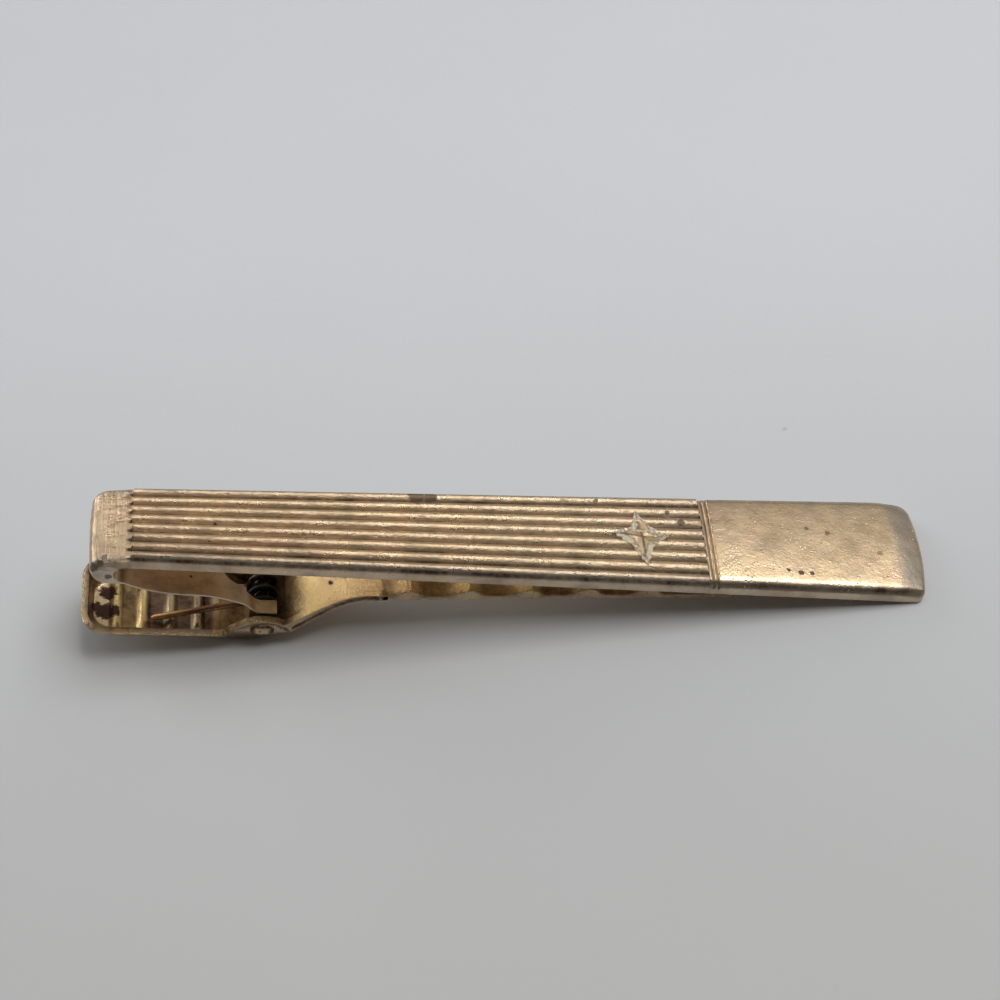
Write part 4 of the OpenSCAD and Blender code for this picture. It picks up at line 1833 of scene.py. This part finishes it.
    def shade_and_dirt_at(self, co: Vector, normal: Vector) -> float:
        """Painted shade on the lever: on the tray's rim, between its ribs, round the pin and
        between the teeth.

        Args:
            co: The point on the level clip.
            normal: The surface's normal there.

        Returns:
            How thick the dirt lies, from 0 for none.
        """
        s = self.sizes
        # Painted shade on the jaw's upper side, low between the teeth
        if co.x > s.jaw_root_x:
            above = co.z - s.jaw_underside(co.x) - s.sheet
            return 0.05 + 0.5 * (1 - eased(above, 0.05, 0.35)) * (normal.z > 0.1)
        # Painted shade: the inner part of the tray's rim is dark, its outer edge light
        if co.x < 9 and co.z > -s.rim_drop - 0.15:
            inner = 1 - eased(abs(co.y), 3.12, 3.27) if co.x > 0.6 else eased(co.x, -0.24, -0.1)
            return 0.65 * inner
        return (self.inner_shade if self.is_inner(co, normal) else self.outer_shade)(co, normal)

    def outer_shade(self, co: Vector, normal: Vector) -> float:
        """Painted shade outside: dark on the tray's wall, a painted shadow line round the ear and a
        dark band along the arm.

        Args:
            co: The point on the level clip.
            normal: The surface's normal there.

        Returns:
            How thick the dirt lies, from 0 for none.
        """
        off, over = self.inside_ear(co), co.z > self.ear_centre[1]
        if normal.z < -0.25 or (abs(off) < 0.1 and over):
            return self.clean_outside
        if normal.x > 0.6:
            return 0.1
        # Painted shade: a dark band along the arm's outer wall
        if co.x > 14.5:
            return 0.1 + 0.75 * banded(co.z - self.underside_z(co.x), (0.1, 0.2), (0.5, 0.65))
        return max(0.16 if co.x > 9 else 0.75, 0.75 * banded(off, (0.1, 0.2), (0.3, 0.5)) * over)

    def inner_shade(self, co: Vector, normal: Vector) -> float:
        """Painted shade inside: round the coil, between the tray's ribs, on the floor under the leg
        and up the walls.

        Args:
            co: The point on the level clip.
            normal: The surface's normal there.

        Returns:
            How thick the dirt lies, from 0 for none.
        """
        s = self.sizes
        # Painted shade round the coil, in the channel between the first ribs, on the walls and on
        # the floor under the leg
        crevice = 0.66 * banded(co.x, (8.2, 10.5), (13.8, 15.6))
        channel = 0.55 * banded(co.x, (2.34, 2.5), (3.35, 3.6))
        tray_wall = 0.65 * (1 - eased(normal.z, 0.3, 0.85)) * (co.x < 9.5)
        arm_wall = 0.6 * (abs(normal.y) > 0.5) * (co.x > 14)
        crest = eased(co.z + s.rim_drop + s.tray_depth, 0.1, 0.27)
        floor = (0.68 - 0.6 * crest) * banded(co.x, (4.15, 4.4), (8.6, 9.5))
        return max(crevice, channel, tray_wall, arm_wall, floor) or self.clean_inside

    def worn_at(self, co: Vector, normal: Vector) -> float:
        """Greyness from wear: bright gold inside the arm, greyer on the rim and outside."""
        return -0.6 if self.is_inner(co, normal) and (co.x > 9 or 1.9 < co.x < 4.2) else 0.2

    def coarse_at(self, co: Vector, normal: Vector) -> float:
        """Extra coarseness of the grain, inside the arm and on the ears' upper edges.

        Args:
            co: The point on the level clip.
            normal: The surface's normal there.

        Returns:
            The coarseness that is added.
        """
        if self.is_inner(co, normal) and co.x > 14:
            return 1.6
        on_ear_edge = self.inside_ear(co) < 0.12 and co.z > self.ear_centre[1]
        return 3.0 if on_ear_edge else 0.3

    def finishes(self) -> tuple[WornPlating, ...]:
        """Glossier and more golden plating than on the face.

        Returns:
            The one finish.
        """
        return (
            WornPlating(
                "worn lever plating", gold=tone(247, 215, 148), rose=tone(232, 190, 150),
                grey=tone(200, 180, 162), shade_and_dirt=tone(84, 54, 42), greyness=0.3, roughness=0.15,
                clouds=1.2, dents=1.6, blotches=self.blotches,
            ),
        )


@dataclass
class HingePin(ClipPiece):
    """The pin, peened over outside both ears."""

    sizes: ClipSizes = field(default_factory=ClipSizes)
    head_radius: float = 0.875
    head_height: float = 0.16
    head_flatness: float = 0.63
    head_profile: tuple[Point, ...] = (
        (1.0, 0.0), (0.99, 0.35), (0.94, 0.62), (0.8, 0.86),
        (0.62, 1.0), (0.42, 0.97), (0.22, 0.72), (0.05, 0.6),
    )
    sides: int = 40
    body = Body.LEVER
    slot = Slot.PIN
    node = "hinge_pin"

    def build(self) -> bpy.types.Object:
        """Turns the shank and upsets a domed, dimpled head at either end.

        Returns:
            The finished pin.
        """
        s = self.sizes
        x, z = s.pivot_x, -s.pivot_drop
        leave_all()
        bpy.ops.mesh.primitive_cylinder_add(
            vertices=self.sides, radius=s.pin_radius, depth=s.ear_span, location=(x, 0, z),
            rotation=(math.radians(90), 0, 0),
        )
        pin = Workpiece("riveted_pin")
        for side in (-1, 1):
            end = side * s.ear_span / 2
            pin.pick_faces(lambda mid, normal: normal.y * side > 0.9 and abs(mid.y - end) < 0.001)
            radius, height, squash = s.pin_radius, 0.0, self.head_flatness
            for share, rise in self.head_profile:
                pin.extrude(y=side * (rise - height) * self.head_height)
                k = share * self.head_radius / radius
                pin.scale(k, 1, k * squash, (x, end, z))
                radius, height, squash = share * self.head_radius, rise, 1.0
        pin.tidy()
        pin.paint(Layer.SOIL, self.shade_and_dirt_at)
        return pin.settle(s)

    def shade_and_dirt_at(self, co: Vector, normal: Vector) -> float:
        """Painted shade on the pin: in the corners of its heads and all over its shank.

        Args:
            co: The point on the level clip.
            normal: The surface's normal there.

        Returns:
            How thick the dirt lies, from 0 for none.
        """
        if abs(co.y) < self.sizes.ear_span / 2 - 0.3:
            return 0.7
        across, up = abs(co.x - self.sizes.pivot_x), abs(co.z + self.sizes.pivot_drop)
        return 0.1 + 0.8 * max(eased(across, 0.35, 0.62), eased(up, 0.2, 0.4))

    def finishes(self) -> tuple[WornPlating, ...]:
        """Plating that the peening wore bright."""
        return (WornPlating("worn pin plating", roughness=0.2, grain=1.5),)


@dataclass
class TorsionSpring(ClipPiece):
    """The copper spring: a coil round the pin, an arm on the tray, an arm under the leg."""

    sizes: ClipSizes = field(default_factory=ClipSizes)
    tray_tip: Point = (4.5, -9.12)
    leg_tip: Point = (7.45, -5.0)
    turns: int = 2
    wire_sides: int = 14
    steps_per_turn: int = 40
    arm_shares: Place = (0.25, 0.35, 0.36)
    tip_share: float = 0.03
    tip_taper: float = 0.55
    body = Body.LEVER
    slot = Slot.WIRE
    node = "torsion_spring"

    def leave_angle(self, tip: Point, side: int) -> float:
        """Angle in degrees at which a straight arm leaves the coil for its tip.

        Args:
            tip: Where the arm ends on the level clip.
            side: -1 or 1, for the side of the coil that it leaves from.

        Returns:
            The angle.
        """
        dx, dz = tip[0] - self.sizes.pivot_x, tip[1] + self.sizes.pivot_drop
        swing = math.acos(self.sizes.coil_radius / math.hypot(dx, dz))
        return math.degrees(math.atan2(dz, dx) + side * swing)

    def draw_arm(self, wire: Workpiece, tip: Point, angle: float, side: int) -> None:
        """Draws a straight arm out of the coil and rounds its tip.

        Args:
            wire: The wound coil, about the origin.
            tip: Where the arm ends on the level clip.
            angle: Angle in degrees at which it leaves the coil.
            side: -1 for the near end of the coil, 1 for its far end.
        """
        s, a = self.sizes, math.radians(angle)
        r = s.coil_radius
        at = Vector((r * math.cos(a), side * s.arm_spread / 2, r * math.sin(a)))
        wire.pick(lambda co: (co - at).length < s.wire_radius * 1.02)
        bpy.ops.mesh.edge_face_add()
        reach = Vector((tip[0] - s.pivot_x - at.x, 0, tip[1] + s.pivot_drop - at.z))
        shares = (*self.arm_shares, self.tip_share)
        for share in shares:
            wire.extrude(x=reach.x * share, z=reach.z * share)
        wire.scale(self.tip_taper, self.tip_taper, self.tip_taper, tuple(at + reach * sum(shares)))

    def build(self) -> bpy.types.Object:
        """Winds the coil and draws out both of its arms.

        Returns:
            The finished spring.
        """
        s = self.sizes
        start, end = self.leave_angle(self.tray_tip, -1), self.leave_angle(self.leg_tip, 1)
        sweep = (start - end + 720) % 360 + 360 * self.turns
        rings = round(sweep / 360 * self.steps_per_turn)
        leave_all()
        bpy.ops.mesh.primitive_circle_add(
            vertices=self.wire_sides, radius=s.wire_radius, location=(s.coil_radius, 0, 0)
        )
        wire = Workpiece("spring_wire")
        bpy.ops.mesh.select_all(action="SELECT")
        wire.turn(-start, "Y", (0, 0, 0))
        wire.move(y=-s.arm_spread / 2)
        wire.modify(
            "SCREW", axis="Y", angle=math.radians(sweep), screw_offset=s.arm_spread,
            steps=rings, render_steps=rings, use_smooth_shade=False,
        )
        wire.resume()
        self.draw_arm(wire, self.tray_tip, start, -1)
        self.draw_arm(wire, self.leg_tip, end, 1)
        bpy.ops.mesh.select_all(action="SELECT")
        wire.move(x=s.pivot_x, z=-s.pivot_drop)
        wire.tidy()
        wire.paint(Layer.SOIL, self.shade_and_dirt_at)
        wire.paint(Layer.WORN, self.worn_at)
        return wire.settle(s)

    def follow(self, piece: bpy.types.Object) -> None:
        """Bakes the spring's place into its mesh; it rides on no body and does not wind.

        Args:
            piece: The finished spring.
        """
        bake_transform(piece)

    def shade_and_dirt_at(self, co: Vector, normal: Vector) -> float:
        """Painted shade on the wire, with oxide on the coil: thick on the coil, thin under its
        arms.

        Args:
            co: The point on the level clip.
            normal: The surface's normal there.

        Returns:
            How thick the dirt lies, from 0 for none.
        """
        s = self.sizes
        away = math.hypot(co.x - s.pivot_x, co.z + s.pivot_drop) - s.coil_radius - s.wire_radius
        # Painted shade: dark on the coil and under the arms
        return max(0.9 * (1 - eased(away, 0.1, 1.6)), 0.85 * (1 - eased(normal.z, -0.5, 0.1)))

    def worn_at(self, co: Vector, normal: Vector) -> float:
        """Rosy greyness of the wire, from none at the bright tip on the tray."""
        return mix(-0.3, 0.6, eased(co.x, self.tray_tip[0] + 0.6, self.tray_tip[0] + 3.0))

    def finishes(self) -> tuple[WornPlating, ...]:
        """Copper-coloured wire with a drawn gloss.

        Returns:
            The one finish.
        """
        return (
            WornPlating(
                "copper wire", gold=tone(244, 204, 142), rose=tone(226, 168, 118),
                grey=tone(190, 138, 112), shade_and_dirt=tone(38, 32, 36), greyness=0.15, roughness=0.2,
                specks=0.5, clouds=1.4, grain=0.7, pits=0.3, dents=0.4,
            ),
        )


@dataclass
class StarCut(ClipPiece):
    """The four-pointed star cut across the ribs: each arm half satin, half cut with a painted
    highlight.
    """

    sizes: ClipSizes = field(default_factory=ClipSizes)
    middle: Point = (39.15, -0.12)
    points: tuple[Point, ...] = (
        (1.98, 0.23), (0.7, 0.92), (-0.28, 2.4), (-0.72, 0.9),
        (-2.14, 0.35), (-0.78, -0.8), (0.09, -2.61), (0.72, -0.88),
    )
    ridges: tuple[float, ...] = (-0.1, -0.06, 0.06, 0.06)
    cuts: int = 11
    enlarged: float = 10
    sunk: float = 0.5
    floor_z: float = -0.3
    ragged: float = 0.09
    body = Body.BAR
    slot = Slot.FACE

    def arm_place(self, co: Vector) -> tuple[int, float, float]:
        """Finds a point's place on the star.

        Args:
            co: The point, measured from the star's middle.

        Returns:
            The arm's number, the share of its length, and how far the point is from the
            arm's line, positive on the side with the painted highlight.
        """
        best = (0, 0.0, 9.0)
        for arm in range(4):
            tip = Vector(self.points[2 * arm])
            along = Vector((co.x, co.y)).dot(tip) / tip.length
            off = (tip.x * co.y - tip.y * co.x) / tip.length
            if along >= 0 and abs(off) < abs(best[2]):
                best = (arm, along / tip.length, off)
        return best

    def outwardness(self, co: Vector) -> float:
        """How near a point is to the star's outline: 0 at its middle and 1 on the outline.

        Args:
            co: The point, measured from the star's middle.

        Returns:
            The share.
        """
        best = 0.0
        for start, end in zip(self.points, self.points[1:] + self.points[:1]):
            turn = start[0] * end[1] - start[1] * end[0]
            a = (co.x * end[1] - co.y * end[0]) / turn
            b = (start[0] * co.y - start[1] * co.x) / turn
            if a >= -0.01 and b >= -0.01:
                best = max(best, a + b)
        return best

    def build(self) -> bpy.types.Object:
        """Cuts the star's eight facets.

        Returns:
            The finished star, sunk into the ribbed face.
        """
        s = self.sizes
        leave_all()
        bpy.ops.mesh.primitive_circle_add(vertices=8, radius=1, fill_type="TRIFAN")
        star = Workpiece("star_cut")
        for i, point in enumerate(self.points):
            a = math.radians(45 * i)
            corner = Vector((math.cos(a), math.sin(a), 0))
            star.pick(lambda co: (co - corner).length < 0.01)
            star.move(x=point[0] * self.enlarged - corner.x, y=point[1] * self.enlarged - corner.y)
        bpy.ops.mesh.select_all(action="SELECT")
        star.scale(1 / self.enlarged, 1 / self.enlarged, 1, (0, 0, 0))
        bpy.ops.mesh.subdivide(number_cuts=self.cuts)

        def place(co: Vector) -> Place:
            """Formed place of a point of the flat star.

            Args:
                co: The point on the flat star.

            Returns:
                The place on the formed piece.
            """
            arm, share, off = self.arm_place(co)
            lift = self.ridges[arm] * math.sin(math.pi * min(1.0, share))
            lift *= max(0.0, 1 - abs(off) / 0.5)
            shake = self.ragged * share
            x = co.x + shake * math.sin(31 * co.y + 9 * co.x)
            y = co.y + shake * math.sin(27 * co.x + 2 + 11 * co.y)
            return x, y, lift + 0.02 * math.sin(19 * co.x) * math.sin(23 * co.y)

        star.form(place)
        star.resume()
        bpy.ops.mesh.select_all(action="SELECT")
        star.move(x=self.middle[0], y=self.middle[1], z=s.crown_height)
        star.extrude(z=-self.sunk)
        star.scale(1, 1, 0, (self.middle[0], 0, self.floor_z))
        star.tidy()
        star.paint(Layer.SOIL, self.shade_and_dirt_at)
        star.paint(Layer.COARSE, self.coarse_at)
        # Faces that get the painted highlight take the second, near-white finish
        for face in star.obj.data.polygons:
            face.material_index = int(self.is_painted_highlight(face.center))
        return star.settle(s, smooth=24.0)

    def is_painted_highlight(self, co: Vector) -> bool:
        """Says whether a point is on the half of an arm that gets the painted highlight.

        Args:
            co: The point on the level clip.

        Returns:
            True on that half and on the ragged rim, which get the painted highlight.
        """
        spot = co - Vector((*self.middle, 0))
        _, share, off = self.arm_place(spot)
        rim = self.outwardness(spot) + 0.1 * math.sin(13 * co.x + 17 * co.y)
        return rim > (0.62 if off > 0 else 0.86) or (share > 0.7 and rim > 0.5)

    def shade_and_dirt_at(self, co: Vector, normal: Vector) -> float:
        """Painted shade on the star: a painted shadow along each arm's line and down its sides.

        Args:
            co: The point on the level clip.
            normal: The surface's normal there.

        Returns:
            How thick the dirt lies, from 0 for none.
        """
        if normal.z < 0.4:
            return 0.4
        off = self.arm_place(co - Vector((*self.middle, 0)))[2]
        return 0.6 * (1 - eased(abs(off), 0.03, 0.13))

    def coarse_at(self, co: Vector, normal: Vector) -> float:
        """Extra coarseness of the halves with the painted highlight."""
        return 3.0 if self.is_painted_highlight(co) else 0.0

    def finishes(self) -> tuple[WornPlating, ...]:
        """Satin plating, and a near-white copy of it that paints the highlight on the cut halves.

        Returns:
            The two finishes, satin first.
        """
        return (
            WornPlating("satin star facet", greyness=0.2, roughness=0.3, specks=0.5, grain=1.2),
            # Near-white copy of the plating: the painted highlight of the cut halves
            WornPlating(
                "star facet painted highlight", gold=tone(254, 242, 214), rose=tone(254, 236, 212),
                grey=tone(246, 236, 218), greyness=0.2, roughness=0.3, specks=0.0, clouds=0.2,
            ),
        )


# ---------------------------------------------------------------------------
# Stage, light and camera
# ---------------------------------------------------------------------------


@dataclass(frozen=True)
class Viewpoint:
    """The camera's fitted place, in the level clip's frame and millimetres."""

    focal_px: float = 2328.0
    frame_px: float = 1000.0
    right: Place = (0.98746894, -0.07537946, 0.13854809)
    down: Place = (0.03204332, -0.76439304, -0.64399087)
    ahead: Place = (0.1544854, 0.6403203, -0.75238043)
    offset: Place = (-28.49005763, 1.42439195, 161.13755511)

    def set_up(self, sizes: ClipSizes) -> None:
        """Puts the camera where it stood.

        Args:
            sizes: The clip's sizes, which hold the way it lies.
        """
        axes = Matrix((self.right, self.down, self.ahead))
        place = sizes.settling @ -(axes.transposed() @ Vector(self.offset))
        turn = Matrix((self.right, -Vector(self.down), -Vector(self.ahead))).transposed()
        camera = bpy.data.objects.new("camera", bpy.data.cameras.new("camera"))
        camera.data.sensor_width = 36.0
        camera.data.lens = camera.data.sensor_width * self.focal_px / self.frame_px
        camera.data.clip_start = 0.005
        camera.matrix_world = Matrix.Translation(place) @ (
            Matrix.Rotation(sizes.tilt, 4, "Y") @ turn.to_4x4()
        )
        bpy.context.scene.collection.objects.link(camera)
        bpy.context.scene.camera = camera


@dataclass(frozen=True)
class Studio:
    """Pale floor, soft overhead light and a dim room in front of the clip."""

    floor_size: float = 3.0
    floor_shaded_near: Colour = tone(199, 198, 196)
    floor_lit_far: Colour = tone(229, 231, 234)
    floor_mottle: Colour = tone(209, 210, 212)
    floor_grain: Colour = tone(190, 190, 191)
    floor_speck: Colour = tone(150, 150, 152)
    floor_roughness: float = 0.85
    lamp_place: Place = (0.19, 0.02, 0.57)
    lamp_size: Point = (0.38, 0.3)
    lamp_watts: float = 1.62
    room_tint: Colour = (0.98, 0.99, 1.0)
    window_level: float = 4.2

    def floor(self) -> None:
        """Lays the pale floor, painted darker towards the front as painted shade."""
        leave_all()
        bpy.ops.mesh.primitive_plane_add(size=self.floor_size)
        floor = bpy.context.object
        floor.name = "floor"
        material, w = new_material("pale table top")
        place = w.coordinates("Object")
        mottle = w.noise(place, 40.0, 4.0, 0.6)
        grain = w.noise(place, 2500.0, 2.0)
        speck = w.flipped(w.span(w.cells(place, 85.0), 0.014, 0.03))
        # Painted shade: the floor darkens from the back towards the front
        far = w.span(w.parted(place)["Y"], -0.04, 0.05)
        tint = w.blend(far, self.floor_shaded_near, self.floor_lit_far)
        tint = w.blend(w.times(mottle, 0.3), tint, self.floor_mottle)
        tint = w.blend(w.times(grain, 0.12), tint, self.floor_grain)
        tint = w.blend(w.times(speck, 0.4), tint, self.floor_speck)
        shader = w.node("ShaderNodeBsdfPrincipled")
        w.feed(shader.inputs["Base Color"], tint)
        shader.inputs["Roughness"].default_value = self.floor_roughness
        w.finish("ShaderNodeOutputMaterial", shader.outputs["BSDF"])
        floor.data.materials.append(material)

    def lamp(self) -> None:
        """Hangs the large soft lamp above and behind the clip."""
        lamp = bpy.data.lights.new("overhead light", "AREA")
        lamp.shape = "RECTANGLE"
        lamp.size, lamp.size_y = self.lamp_size
        lamp.energy = self.lamp_watts
        holder = bpy.data.objects.new("overhead light", lamp)
        aim = -Vector(self.lamp_place)
        holder.matrix_world = Matrix.Translation(self.lamp_place) @ (
            aim.to_track_quat("-Z", "Y").to_matrix().to_4x4()
        )
        bpy.context.scene.collection.objects.link(holder)

    def room(self) -> None:
        """Fills the room: bright above, dimmer at the left, dark in front, with a low window."""
        world = bpy.data.worlds.new("room")
        world.use_nodes = True
        bpy.context.scene.world = world
        w = Wiring(world.node_tree)
        way = w.parted(w.coordinates("Generated"))
        high = w.span(way["Z"], 0.4, 0.95)
        back = w.span(way["Y"], -0.48, 0.08)
        right = w.span(way["X"], 0.0, 0.5)
        level = w.plus(0.3, w.times(high, 0.8))
        level = w.times(level, w.plus(0.5, w.times(right, 0.5)))
        window = w.times(
            w.span(w.times(way["X"], -1.0), 0.45, 0.65), w.span(way["Y"], 0.3, 0.55),
            w.flipped(w.span(way["Z"], 0.34, 0.6)), self.window_level,
        )
        level = w.times(w.plus(level, window), w.plus(0.1, w.times(back, 0.9)))
        backdrop = w.node("ShaderNodeBackground")
        w.feed(backdrop.inputs["Color"], self.room_tint)
        w.feed(backdrop.inputs["Strength"], level)
        w.finish("ShaderNodeOutputWorld", backdrop.outputs["Background"])

    def build(self) -> None:
        """Sets up floor, lamp and room."""
        self.floor()
        self.lamp()
        self.room()
        bpy.context.scene.view_settings.view_transform = "Standard"


def main() -> None:
    """Builds and dresses the clip, piece by piece, and sets the stage."""
    logging.basicConfig(level=logging.INFO, format="%(name)s: %(message)s")
    sizes = ClipSizes()
    effects = Effects(pitted_relief(), darkening_mask(), tone_drift(), ragged_blotch())
    for make in (FaceBar, StarCut, JawLever, HingePin, TorsionSpring):
        maker = make(sizes)
        piece = maker.build()
        maker.dress(piece, effects)
        faces, body = len(piece.data.polygons), maker.body.value
        LOG.info("%s: %d faces, riding on %s", piece.name, faces, body)
    Studio().build()
    Viewpoint().set_up(sizes)


if __name__ == "__main__":
    main()
